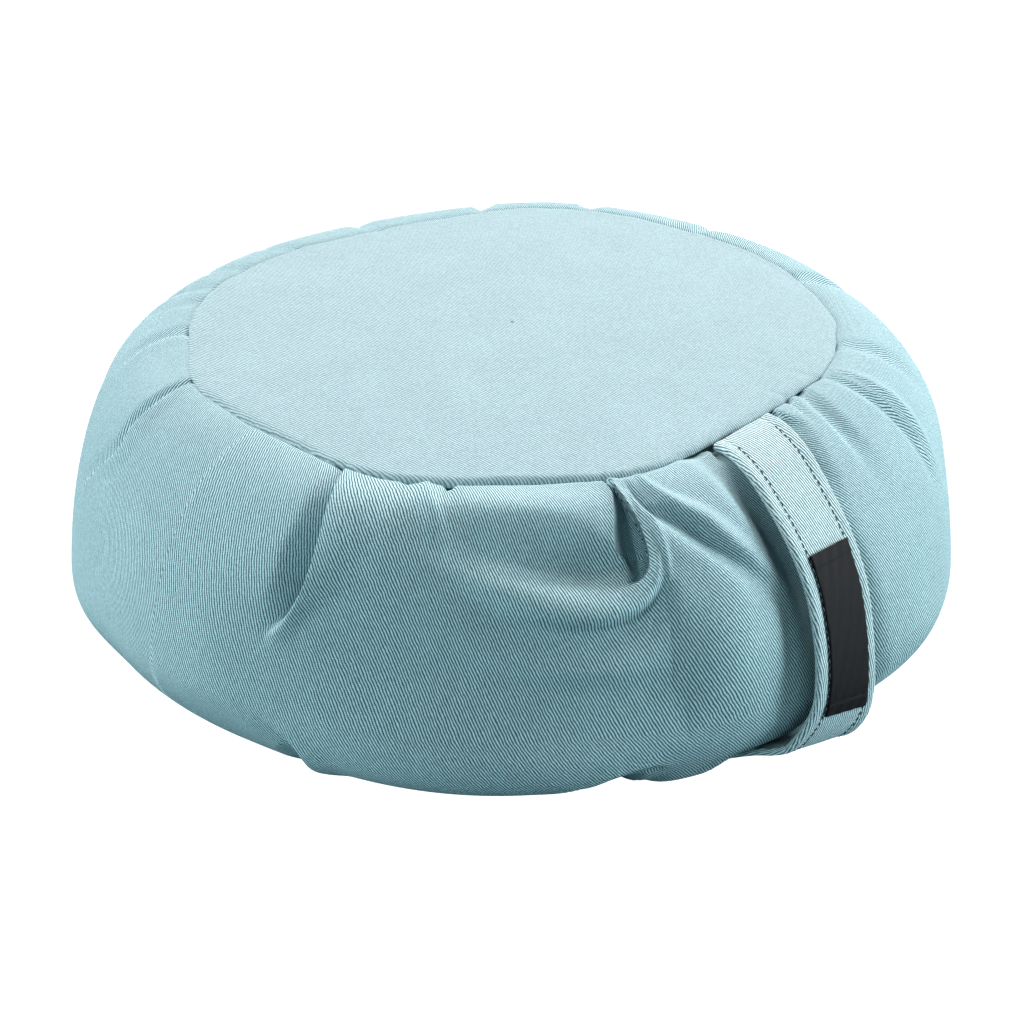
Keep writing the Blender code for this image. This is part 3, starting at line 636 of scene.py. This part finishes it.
def outward(made):
    work = bmesh.new()
    work.from_mesh(made.data)
    bmesh.ops.recalc_face_normals(work, faces=work.faces)
    work.to_mesh(made.data)
    work.free()
    return made


BAND_SPANS = (
    # (from angle, to angle, step)
    (-100, -84.4, 0.8), (-84.4, -75.4, 0.125), (-75.4, -44.2, 0.8), (-44.2, -37.6, 0.44), (-37.6, -28.6, 0.1),
    (-28.6, 34.4, 0.7), (34.4, 230.2, 1.4), (230.2, 243.2, 0.4), (243.2, 260, 0.8),
)
BAND_RUNS = (
    # (from run, to run, rows)
    (0, 0.3, 96), (0.3, 0.5, 30), (0.5, 0.78, 34),
)
LAST_ROWS = 17            # from the last run down to the bottom seam


def band_grid():
    """Angles of the band's columns and runs of its rows, closest where the knife pleats lap."""
    columns = np.concatenate([np.arange(a, b, step) for a, b, step in BAND_SPANS])
    runs = [np.linspace(a, b, rows, endpoint=False) for a, b, rows in BAND_RUNS]
    return columns, np.concatenate([*runs, np.linspace(BAND_RUNS[-1][1], 1.0, LAST_ROWS)])


WEAVE_RADIUS = 188.0      # at which one turn of the band is laid flat for its weave
CM = 0.1
FAR = 99.0


def weave_shear(angle, run):
    """How far the weave is pulled sideways, in millimetres: the gathers swing it at the top."""
    down = run * PATTERN_LENGTH
    # each pull in millimetres, over its angles, and fading over millimetres down from the seam
    right_of_pleat = bell(turn_between(angle, -18.0) / 24.0)
    pull = -9.0 * right_of_pleat * (1.0 - np.exp(-down / 45.0))
    front = smooth((angle + 78.0) / 16.0) * fading((angle + 38.0) / 14.0)
    pull -= 11.4 * front * np.exp(-down / 60.0)
    flap = np.array(PLEATS["front_left"]["rows"])
    edge = np.interp(run, flap[:, 1], flap[:, 0])
    left = smooth((edge - angle) / 0.5) * smooth((angle + 128.0) / 42.0)
    return pull - 20.0 * left * fading(down / 88.0)


def stretch(surface, plain, angle):
    """How much more cloth, in millimetres, the surface has than the plain one from column to column."""
    across, base = (np.linalg.norm(np.diff(points, axis=1), axis=2) for points in (surface, plain))
    return (across / base - 1.0) * np.radians(np.diff(angle, axis=1)) * WEAVE_RADIUS


def pleat_slack(angle, run, surface):
    """Cloth that the front pleats' hollows take up, so that the weave keeps its pitch in them."""
    extra = np.pad(stretch(surface, band_surface(angle, run, pleated=False), angle), ((0, 0), (1, 0)))
    slack = np.zeros_like(angle)
    for name in ("front_left", "front_right"):
        q, wide = np.full(angle.shape, FAR), np.zeros_like(angle)
        near, (side, columns, past, _, _) = pleat_places(angle, run, PLEATS[name]["rows"])
        q[near] = np.where(past > PLEAT_FADE, FAR, side)
        wide[near] = columns[1] + 3.0
        # the hollow runs on a little under the flap's edge, and its slack is let go there
        hollow = (q > -wide) & (q < 1.6)
        slack += np.cumsum(extra * hollow, axis=1) * hollow * fading((q - 0.2) / 1.2)
    return slack


def fan_slack(angle, run, surface):
    """Cloth that the fan of creases between the right pleat and the strap takes up."""
    # from just past the flap's upper rows to the strap, and fading down the band
    flap = np.array(PLEATS["front_right"]["rows"])[:6]
    edge = np.interp(run, flap[:, 1], flap[:, 0])
    inside = smooth((angle - edge - 1.3) / 1.2) * fading((angle + 18.0) / 4.0)
    inside = inside * fading((run - 0.2) / 0.34)
    extra = np.clip(stretch(surface, polar(angle, *band_profile(angle, run)), angle), 0.0, None) * inside[:, 1:]
    slack = np.pad(np.cumsum(extra, axis=1), ((0, 0), (1, 0)))
    return slack * fading((angle + 11.0) / 14.0)


FILLING_RINGS = (
    # (share of the seam's radius, how far below the top panel)
    (0, 1.2), (0.6, 1.2), (0.9, 1.2), (0.955, 1.8),
)
BASE_SHARES = (0.985, 0.6, 0.005)
SEAM_STEP = 1.6, 0.5      # the filling's last ring inside the seam and below the band's edge


def make_cushion():
    """The pleated band with its filling, closed over the top and underneath."""
    columns, runs = band_grid()
    angle, run = np.meshgrid(columns, runs)
    surface = band_surface(angle, run)
    seam = seam_radius(columns)
    rings = []
    for share, below in FILLING_RINGS:
        height = panel_height(columns, seam * share, seam) - CLOTH - below
        rings.append(polar(columns, np.maximum(seam * share, 0.5), height))
    rings.append(polar(columns, seam - SEAM_STEP[0], surface[0, :, 2] - SEAM_STEP[1]))
    under = [polar(columns, BOTTOM_SEAM_RADIUS * share, CLOTH + 0.5) for share in BASE_SHARES]
    grid = np.concatenate([rings, surface, under])
    u = np.radians(angle) * WEAVE_RADIUS + weave_shear(angle, run) + pleat_slack(angle, run, surface)
    u += fan_slack(angle, run, surface)
    uv = np.stack([u, run * PATTERN_LENGTH], axis=-1) * CM
    uv = np.concatenate([uv[:1]] * len(rings) + [uv] + [uv[-1:]] * len(under))
    vertices, faces = grid.reshape(-1, 3) * MM, grid_faces(*grid.shape[:2])
    return outward(new_object("side_band_cloth", vertices, faces, uv.reshape(-1, 2), len(columns)))


PANEL_ROLL = 3.6          # width of the panel's rim that rolls into the seam
PANEL_WAVES = (
    # (height, waves round the panel, turn, power of the share from its middle)
    (0.35, 3, 1, 3), (0.25, 7, 2, 6),
)
NICKED_RIM = 0.86         # share from the middle at which the seam's nicks begin to show
NICK_SHARE = 0.45
PANEL_EASE = 0.25         # of the panel's rim over the seam


def panel_height(angle, radius, seam):
    """The top panel's outer face: a low crown whose rim rolls over into the seam."""
    share = share_of(radius / seam)
    roll = share_of((radius - (seam - PANEL_ROLL)) / PANEL_ROLL)
    a = np.radians(angle)
    wave = sum(height * np.sin(count * a + turn) * share**power for height, count, turn, power in PANEL_WAVES)
    round_over = 1.0 - np.sqrt(share_of(1.0 - roll**2.4))
    wide = share_of((share - NICKED_RIM) / (1.0 - NICKED_RIM))
    crown = CROWN * (1.0 - share**CROWN_POWER) + wave * (1.0 - roll) - seam_look(angle)[0] * round_over
    return TOP_SEAM_HEIGHT + crown - seam_nicks(angle) * NICK_SHARE * wide**2


def turned(uv, degrees):
    c, s = math.cos(math.radians(degrees)), math.sin(math.radians(degrees))
    return np.stack([uv[:, 0] * c - uv[:, 1] * s, uv[:, 0] * s + uv[:, 1] * c], axis=1)


def round_panel(name, rings, lean):
    """A panel from its rings of points, its weave turned by lean degrees."""
    grid = np.array(rings)
    uv = turned(grid[:, :, :2].reshape(-1, 2) * CM, lean)
    return outward(new_object(name, grid.reshape(-1, 3) * MM, grid_faces(*grid.shape[:2]), uv))


def make_top_panel():
    columns = np.arange(-180.0, 180.0, 0.6)
    seam = seam_radius(columns) + seam_wobble(columns) + PANEL_EASE
    outer = np.concatenate([np.linspace(0.004, 0.9, 34), 1.0 - 0.1 * np.linspace(1.0, 0.0, 40)[1:] ** 2.0])
    faces = [(share, 0.0) for share in outer] + [(share, CLOTH) for share in (0.995, 0.96, 0.7, 0.004)]
    rings = [polar(columns, seam * share, panel_height(columns, seam * share, seam) - below)
             for share, below in faces]
    return round_panel("top_panel_cloth", rings, -30.0)


def make_bottom_panel():
    columns = np.arange(-180.0, 180.0, 1.5)
    rim = BOTTOM_SEAM_RADIUS - 1.0
    section = (
        # (radius, height)
        (0.5, 0.0), (40.0, 0.0), (80.0, 0.0), (rim - 8.0, 0.0), (rim - 5.0, 0.15), (rim - 2.5, 0.45),
        (rim - 0.6, 1.0), (rim, 1.5), (rim - 0.6, CLOTH + 0.3), (rim - 8.0, CLOTH), (0.5, CLOTH),
    )
    rings = [polar(columns, radius, height) for radius, height in section]
    return round_panel("bottom_panel_cloth", rings, 10.0)


STITCH_ROW = 12.6         # of each row of topstitching from the strap's middle
STITCH_LENGTH = 2.3
STITCH_PITCH = 3.2
STITCH_RADIUS = 0.22
STITCH_POINTS = 6         # along a stitch, and round it
ROWS_START, ROWS_STOP = 9.0, 12.0  # from the strap's ends
STRAP_WEAVE = 0.9         # the strap's twill is a little coarser
STRAP_EDGE = 17.5         # from the strap's middle to where its edge puckers


def strap_section():
    """The strap's cross-section: rolled edges, a dip along each row of stitches."""
    half, t = STRAP_WIDTH / 2, STRAP_THICKNESS
    xs = np.linspace(-half + 1.2, half - 1.2, 57)
    edge_lift = 0.25 * bell((np.abs(xs) - (half - 2.6)) / 3.0)
    dip = 0.35 * bell((np.abs(xs) - STITCH_ROW) / 1.5)
    puff = 0.15 * bell(xs / STITCH_ROW)
    right = [(half - 1.2 + 1.2 * math.sin(a), -t / 2 + (t / 2 + 0.1) * math.cos(a))
             for a in np.linspace(0.25, math.pi - 0.25, 9)]
    bottom = [(x, -t) for x in np.linspace(half - 1.6, -half + 1.6, 21)]
    left = [(-x, y) for x, y in reversed(right)]
    return [*zip(xs, edge_lift - dip + puff), *right, *bottom, *left]


def strap_lift(s, x, y):
    """How the stitches and the puckered edge lift the strap's outer face, a length s along it."""
    if y < -1.0:
        return 0.0
    pull = 0.16 * math.cos(2 * math.pi * s / STITCH_PITCH)
    slow = 0.22 * math.sin(s / 11.0) + 0.14 * math.sin(s / 4.7 + 1.0)
    near_row = math.exp(-((abs(x) - STITCH_ROW) / 1.8) ** 2)
    edge = math.exp(-((abs(x) - STRAP_EDGE) / 2.0) ** 2)
    return pull * near_row + slow * edge * 0.8


def ribbon(name, rows, uv):
    """A closed ribbon from rows of points round it, its two ends capped."""
    count = len(rows[0])
    vertices = np.array(rows).reshape(-1, 3) * MM
    ends = [tuple(range(count)), tuple(len(vertices) - 1 - k for k in range(count))]
    return outward(new_object(name, vertices, grid_faces(len(rows), count) + ends, uv))


def make_strap():
    frames = strap_frames(220)
    section = strap_section()
    rows, uv = [], []
    for point, across, normal, s in zip(*frames, lengths_along(frames[0])):
        rows.append([point + across * x + normal * (y + strap_lift(s, x, y)) for x, y in section])
        for x, y in section:
            round_edge = 0.8 * max(0.0, -y - 0.4) + 1.4 * max(0.0, -y - 1.5)
            uv.append((x + math.copysign(round_edge, x), s))
    return ribbon("strap_handle", rows, turned(np.array(uv) * CM, -20.0) * STRAP_WEAVE)


def make_stitches():
    """Two rows of topstitches: short threads that dip into the cloth at both ends."""
    middle, acrosses, normals = strap_frames(1400)
    along = lengths_along(middle)
    count = STITCH_POINTS
    turn = 2 * math.pi * np.arange(count)[:, None] / count
    vertices, faces = [], []
    for side in (-STITCH_ROW, STITCH_ROW):
        start = ROWS_START
        while start < along[-1] - ROWS_STOP:
            base = len(vertices)
            aside = side + 0.10 * math.sin(start * 5.1)
            for k, s in enumerate(np.linspace(start, start + STITCH_LENGTH, count)):
                i = min(int(np.searchsorted(along, s)), len(along) - 1)
                arch = math.sin(math.pi * k / (count - 1))
                centre = middle[i] + acrosses[i] * aside + normals[i] * (0.62 * arch - 0.52)
                r = STITCH_RADIUS * (0.75 + 0.25 * arch)
                vertices += list(centre + r * (np.cos(turn) * acrosses[i] + np.sin(turn) * normals[i]))
            faces += grid_faces(count, count, base)
            last = range(len(vertices) - count, len(vertices))
            faces += [tuple(range(base, base + count)), tuple(reversed(last))]
            start += STITCH_PITCH
    return outward(new_object("strap_topstitching", np.array(vertices) * MM, faces))


LABEL_FOLD = 5.0          # of the label's cut ends, turned under
LABEL_THICKNESS = 0.55


def make_label():
    """The woven label: cut ends folded under, edges a little drawn by the stitches."""
    frames = strap_frames(900)
    covered = np.nonzero((frames[0][:, 2] < LABEL_TOP) & (frames[0][:, 2] > LABEL_BOTTOM))[0]
    picked = covered[:: max(1, len(covered) // 110)]
    middle, acrosses, normals = (values[picked] for values in frames)
    along = lengths_along(middle)
    half = LABEL_WIDTH / 2
    xs = np.linspace(-half, half, 41)
    rows, uv = [], []
    for point, across, normal, s in zip(middle, acrosses, normals, along):
        end = min(s, along[-1] - s)
        fold = 0.35 * float(smooth(1.0 - (end - LABEL_FOLD) / 0.8))
        draw = 0.28 * math.sin(s / 2.9) + 0.22 * math.sin(s / 1.7 + 2.0)
        narrow = 1.0 - 0.006 * (1.0 + math.sin(s / 5.0)) + 0.012 * math.exp(-end / 2.0)
        rim = smooth((np.abs(xs) / half - 0.9) / 0.1)
        wide = xs * narrow + np.copysign(draw * rim * 0.55, xs)
        lift = 0.5 + LABEL_THICKNESS + fold - 0.12 * rim + 0.10 * np.sin(xs * 0.9 + s * 0.35) * (1.0 - rim)
        outer = [point + across * w + normal * h for w, h in zip(wide, lift)]
        rows.append(outer + [point + across * x * narrow + normal * 0.45 for x in reversed(xs)])
        uv += [(x, s) for x in (*xs, *reversed(xs))]
    return ribbon("woven_label", rows, np.array(uv) * CM)


def node(tree, kind, values=None):
    """A new shader node, its inputs set by name."""
    return preset(tree.nodes.new("ShaderNode" + kind), values or {})


def preset(made, values):
    for name, value in values.items():
        made.inputs[name].default_value = value
    return made


def maths(tree, operation, a, b=None, clamp=False):
    made = node(tree, "Math")
    made.operation = operation
    made.use_clamp = clamp
    for socket, value in zip(made.inputs, (a, b)):
        if isinstance(value, (int, float)):
            socket.default_value = value
        elif value is not None:
            tree.links.new(value, socket)
    return made.outputs[0]


def sloped(tree, value, slope, start):
    """A value times its slope, plus where it starts."""
    return maths(tree, "ADD", maths(tree, "MULTIPLY", value, slope), start)


def weighted(tree, a, share_of_a, b, share_of_b):
    return maths(tree, "ADD", maths(tree, "MULTIPLY", a, share_of_a), maths(tree, "MULTIPLY", b, share_of_b))


def sine(tree, value, pace=math.pi):
    return maths(tree, "SINE", maths(tree, "MULTIPLY", value, pace))


def split(tree, place):
    """The sideways and the downward part of a place on the cloth."""
    made = node(tree, "SeparateXYZ")
    tree.links.new(place, made.inputs[0])
    return made.outputs[0], made.outputs[1]


def noise(tree, vector, scale, detail=2.0, roughness=0.5):
    made = node(tree, "TexNoise", {"Scale": scale, "Detail": detail, "Roughness": roughness})
    tree.links.new(vector, made.inputs["Vector"])
    return made.outputs[0]


def mix_colour(tree, factor, a, b, blend="MIX"):
    made = node(tree, "Mix")
    made.data_type = "RGBA"
    made.blend_type = blend
    for name, value in (("Factor", factor), ("A", a), ("B", b)):
        if isinstance(value, (tuple, float, int)):
            made.inputs[name].default_value = value
        else:
            tree.links.new(value, made.inputs[name])
    return made.outputs["Result"]


WALE_PITCH = 1.12         # millimetres between wales
YARN_PITCH = 0.62         # along a wale, from one float to the next
WALE_LEAN = 57.0          # degrees between a wale and the cloth's sideways direction
MM_IN_CM = 10.0


def twill_group():
    """Twill weave from a place on the cloth in centimetres: wale height, yarn fleck, soft wear."""
    group = bpy.data.node_groups.new("twill_weave", "ShaderNodeTree")
    group.interface.new_socket(name="Place", in_out="INPUT", socket_type="NodeSocketVector")
    for name in ("Height", "Fleck", "Cloud"):
        group.interface.new_socket(name=name, in_out="OUTPUT", socket_type="NodeSocketFloat")
    place = group.nodes.new("NodeGroupInput").outputs["Place"]
    leave = group.nodes.new("NodeGroupOutput")
    x, y = split(group, place)
    lean, over, step = math.radians(WALE_LEAN), MM_IN_CM / WALE_PITCH, MM_IN_CM / YARN_PITCH
    phase = weighted(group, x, math.sin(lean) * over, y, -math.cos(lean) * over)
    wander = maths(group, "MULTIPLY", maths(group, "SUBTRACT", noise(group, place, 3.0, 3.0), 0.5), 0.9)
    phase = maths(group, "ADD", phase, wander)
    index = maths(group, "FLOOR", phase)
    wale = maths(group, "POWER", sine(group, maths(group, "FRACT", phase)), 1.3)
    along = weighted(group, x, math.cos(lean) * step, y, math.sin(lean) * step)
    along = maths(group, "ADD", along, maths(group, "MULTIPLY", index, 0.37))
    bead = maths(group, "ABSOLUTE", sine(group, along))
    height = maths(group, "MULTIPLY", wale, sloped(group, bead, 0.4, 0.6))
    cell = node(group, "CombineXYZ")
    group.links.new(index, cell.inputs[0])
    group.links.new(maths(group, "FLOOR", along), cell.inputs[1])
    fleck = node(group, "TexWhiteNoise")
    group.links.new(cell.outputs[0], fleck.inputs["Vector"])
    cloud = noise(group, place, 0.35, 4.0, 0.6)
    for name, value in (("Height", height), ("Fleck", fleck.outputs["Value"]), ("Cloud", cloud)):
        group.links.new(value, leave.inputs[name])
    return group


def new_material(name):
    made = bpy.data.materials.new(name)
    made.use_nodes = True
    return made, made.node_tree, made.node_tree.nodes["Principled BSDF"]


def weave_place(tree):
    """The place on the cloth, in centimetres."""
    made = node(tree, "UVMap")
    made.uv_map = "weave"
    return made.outputs[0]


def dress(tree, shader, colour, rough, height, strength, distance):
    """Feeds a finish's colour, roughness and relief to its shader."""
    bump = node(tree, "Bump", {"Strength": strength, "Distance": distance})
    for value, socket in ((colour, shader.inputs["Base Color"]), (rough, shader.inputs["Roughness"]),
                          (height, bump.inputs["Height"]), (bump.outputs[0], shader.inputs["Normal"])):
        tree.links.new(value, socket)


def twill_material(name, group, light, dark, bump_distance=0.00018):
    made, tree, shader = new_material(name)
    twill = node(tree, "Group")
    twill.node_tree = group
    tree.links.new(weave_place(tree), twill.inputs["Place"])
    height, fleck, cloud = (twill.outputs[name] for name in ("Height", "Fleck", "Cloud"))
    # colour falls from the yarn on the wales to the gap colour in the grooves between them: the cloth's deeper
    # teal with painted shade in the grooves
    base = mix_colour(tree, maths(tree, "SUBTRACT", 1.0, height, clamp=True), light, dark)
    tone = maths(tree, "MULTIPLY", sloped(tree, fleck, 0.16, 0.92), sloped(tree, cloud, 0.14, 0.93))
    grey = node(tree, "CombineColor")
    for socket in grey.inputs:
        tree.links.new(tone, socket)
    colour = mix_colour(tree, 1.0, base, grey.outputs[0], "MULTIPLY")
    preset(shader, {"Specular IOR Level": 0.25, "Sheen Weight": 0.05, "Sheen Roughness": 0.5})
    dress(tree, shader, colour, sloped(tree, height, -0.10, 0.94), height, 0.8, bump_distance)
    return made


def thread_material(name, colour):
    """Twisted thread, darker in noise patches: painted shade between its strands."""
    made, tree, shader = new_material(name)
    twist = noise(tree, node(tree, "TexCoord").outputs["Object"], 2600.0)
    base = mix_colour(tree, twist, colour, tuple(c * 0.45 for c in colour[:3]) + (1.0,))
    dress(tree, shader, base, sloped(tree, twist, 0.3, 0.5), twist, 0.5, 0.0001)
    return made


PICK_PITCH, WARP_PITCH, WARP_STEP = 0.42, 0.5, 1.7     # of the label's satin, in millimetres


def label_material(name, dark, light):
    """Fine satin weave: close rows of floats, a soft sheen, wear varying at random over it."""
    made, tree, shader = new_material(name)
    place = weave_place(tree)
    x, y = split(tree, place)
    turn = math.pi * MM_IN_CM
    pick = maths(tree, "ABSOLUTE", sine(tree, y, turn / PICK_PITCH))
    slant = weighted(tree, x, turn / WARP_PITCH, y, turn / WARP_STEP)
    warp = maths(tree, "ABSOLUTE", maths(tree, "SINE", slant))
    height = weighted(tree, pick, 0.6, warp, 0.4)
    wear = noise(tree, place, 6.0, 4.0, 0.65)
    # lighter on the raised floats and darker between them, scaled by random wear: painted highlight on the
    # floats and painted shade between them, on the label's black
    base = mix_colour(tree, maths(tree, "MULTIPLY", height, wear), dark, light)
    preset(shader, {"Specular IOR Level": 0.3})
    dress(tree, shader, base, sloped(tree, wear, 0.25, 0.5), height, 0.6, 0.0001)
    return made


def paint(made, material):
    made.data.materials.clear()
    made.data.materials.append(material)


CAMERA_DISTANCE = 1.60
CAMERA_HEIGHT_ANGLE = math.radians(25.0)
CAMERA_AZIMUTH = math.radians(-50.5)
FOCUS_PIXELS = 2352.0 * CAMERA_DISTANCE
FRAME_PIXELS = 1024.0
AIM_X, AIM_Y = 512.28, 336.87      # where the middle of the top seam falls in the frame
AIM_HEIGHT = 0.1443
SENSOR = 36.0


def direction(azimuth, height):
    """The way out to a place, by its angle round from the strap's side and up."""
    level = math.cos(height)
    return Vector((math.sin(azimuth) * level, -math.cos(azimuth) * level, math.sin(height)))


def make_camera():
    ahead = -direction(CAMERA_AZIMUTH, CAMERA_HEIGHT_ANGLE)
    right = Vector((math.cos(CAMERA_AZIMUTH), math.sin(CAMERA_AZIMUTH), 0.0))
    up = right.cross(ahead)
    middle = FRAME_PIXELS / 2
    aside, down = (middle - AIM_X) / FOCUS_PIXELS, (middle - AIM_Y) / FOCUS_PIXELS
    z = -(ahead + right * aside - up * down).normalized()
    x = Vector((0.0, 0.0, 1.0)).cross(z).normalized()
    data = bpy.data.cameras.new("camera")
    data.sensor_width = SENSOR
    data.lens = FOCUS_PIXELS / FRAME_PIXELS * SENSOR
    data.clip_start, data.clip_end = 0.1, 30.0
    camera = put("camera", data)
    matrix = Matrix((x, z.cross(x), z)).transposed().to_4x4()
    matrix.translation = Vector((0.0, 0.0, AIM_HEIGHT)) - ahead * CAMERA_DISTANCE
    camera.matrix_world = matrix
    bpy.context.scene.camera = camera


def soft_light(name, azimuth, height, power, spread, colour):
    """A broad soft light far off, placed round from the camera's side."""
    data = bpy.data.lights.new(name, "SUN")
    data.energy = power
    data.color = colour
    data.angle = math.radians(spread)
    made = put(name, data)
    way = direction(CAMERA_AZIMUTH + math.radians(azimuth), math.radians(height))
    made.location = way * 2.0
    made.rotation_mode = "QUATERNION"
    made.rotation_quaternion = (-way).to_track_quat("-Z", "Y")


FLOOR_HALF = 6.0          # metres
FLOOR_PAINT = (0.30, 0.40, 0.43, 1.0)
FLOOR_GLOW = 0.80         # share of white that only the camera sees
WHITE = (1.0, 1.0, 1.0, 1.0)
SKY = (0.80, 0.95, 1.0, 1.0)
SKY_STRENGTH = 0.01


def make_stage():
    mesh = bpy.data.meshes.new("floor")
    corners = [(x * FLOOR_HALF, y * FLOOR_HALF, 0) for x, y in ((-1, -1), (1, -1), (1, 1), (-1, 1))]
    mesh.from_pydata(corners, [], [(0, 1, 2, 3)])
    floor = put("floor", mesh)
    material, tree, shader = new_material("pale_floor")
    preset(shader, {"Base Color": FLOOR_PAINT, "Roughness": 0.9})
    glow = node(tree, "Emission", {"Color": WHITE, "Strength": 1.0})
    seen = node(tree, "LightPath").outputs["Is Camera Ray"]
    blend = node(tree, "MixShader")
    for value, socket in zip((maths(tree, "MULTIPLY", seen, FLOOR_GLOW), shader.outputs[0], glow.outputs[0]),
                             blend.inputs):
        tree.links.new(value, socket)
    tree.links.new(blend.outputs[0], tree.nodes["Material Output"].inputs["Surface"])
    mesh.materials.append(material)
    world = bpy.data.worlds.new("studio")
    bpy.context.scene.world = world
    world.use_nodes = True
    preset(world.node_tree.nodes["Background"], {"Color": SKY, "Strength": SKY_STRENGTH})
    for light in STUDIO:
        soft_light(*light)


WARM_KEY = (1.0, 0.945, 0.94)
COOL_FILL = (0.84, 0.97, 1.0)
STUDIO = (
    # (light, degrees round from the camera, degrees up, power, spread, colour)
    ("front_low", 0, 12, 0.08, 20, COOL_FILL),
    ("right_at_floor", 90, 5, 2.05, 20, COOL_FILL),
    ("right", 90, 35, 0.45, 20, WARM_KEY),
    ("back_right_low", 120, 12, 0.25, 20, WARM_KEY),
    ("back_right_high", 120, 60, 0.8, 20, WARM_KEY),
    ("back_mid_right", 150, 35, 1.7, 20, WARM_KEY),
    ("back", 180, 35, 0.42, 20, WARM_KEY),
    ("back_left", 240, 35, 1.66, 20, WARM_KEY),
    ("left_low", 270, 12, 0.82, 20, COOL_FILL),
    ("front_left_low", 300, 12, 0.2, 20, COOL_FILL),
    ("front_left", 330, 35, 0.88, 20, COOL_FILL),
)


make_camera()
make_stage()
bpy.context.scene.view_settings.view_transform = "Standard"
bpy.context.scene.view_settings.look = "High Contrast"

LIGHT_YARN = (0.615, 0.80, 0.835, 1.0)
# gap colours: the cloth's deeper teal with painted shade in the grooves between the wales, weaker on the top
# panel
GAP_TEAL_AND_SHADE = (0.022, 0.080, 0.098, 1.0)
TOP_YARN = (0.495, 0.61, 0.64, 1.0)
TOP_GAP_TEAL_AND_SHADE = (0.16, 0.25, 0.27, 1.0)
STRAP_YARN = (0.74, 0.88, 0.90, 1.0)
STRAP_GAP_TEAL_AND_SHADE = (0.030, 0.095, 0.112, 1.0)
THREAD = (0.030, 0.060, 0.070, 1.0)
# the label is black; the lighter colour is painted highlight on its raised floats, the darker one its black
# with painted shade between them
LABEL_DARK = (0.005, 0.004, 0.005, 1.0)
LABEL_FLOAT_HIGHLIGHT = (0.022, 0.018, 0.021, 1.0)

weave = twill_group()
twill = twill_material("cotton_twill_blue", weave, LIGHT_YARN, GAP_TEAL_AND_SHADE)
top_twill = twill_material("top_twill_blue", weave, TOP_YARN, TOP_GAP_TEAL_AND_SHADE, bump_distance=0.00013)
strap_twill = twill_material("strap_twill_blue", weave, STRAP_YARN, STRAP_GAP_TEAL_AND_SHADE)
label_look = label_material("label_satin", LABEL_DARK, LABEL_FLOAT_HIGHLIGHT)
thread_look = thread_material("topstitch_thread", THREAD)

cushion = make_cushion()
paint(cushion, twill)
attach(cushion, "root")
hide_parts("side_band")

top_panel = make_top_panel()
paint(top_panel, top_twill)
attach(top_panel, "root")
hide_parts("top_panel")

bottom_panel = make_bottom_panel()
paint(bottom_panel, twill)
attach(bottom_panel, "root")
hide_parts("bottom_panel")

strap = make_strap()
paint(strap, strap_twill)
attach(strap, "root")
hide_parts("handle")

stitches = make_stitches()
paint(stitches, thread_look)
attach(stitches, "root")

label = make_label()
paint(label, label_look)
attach(label, "root")
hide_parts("label")
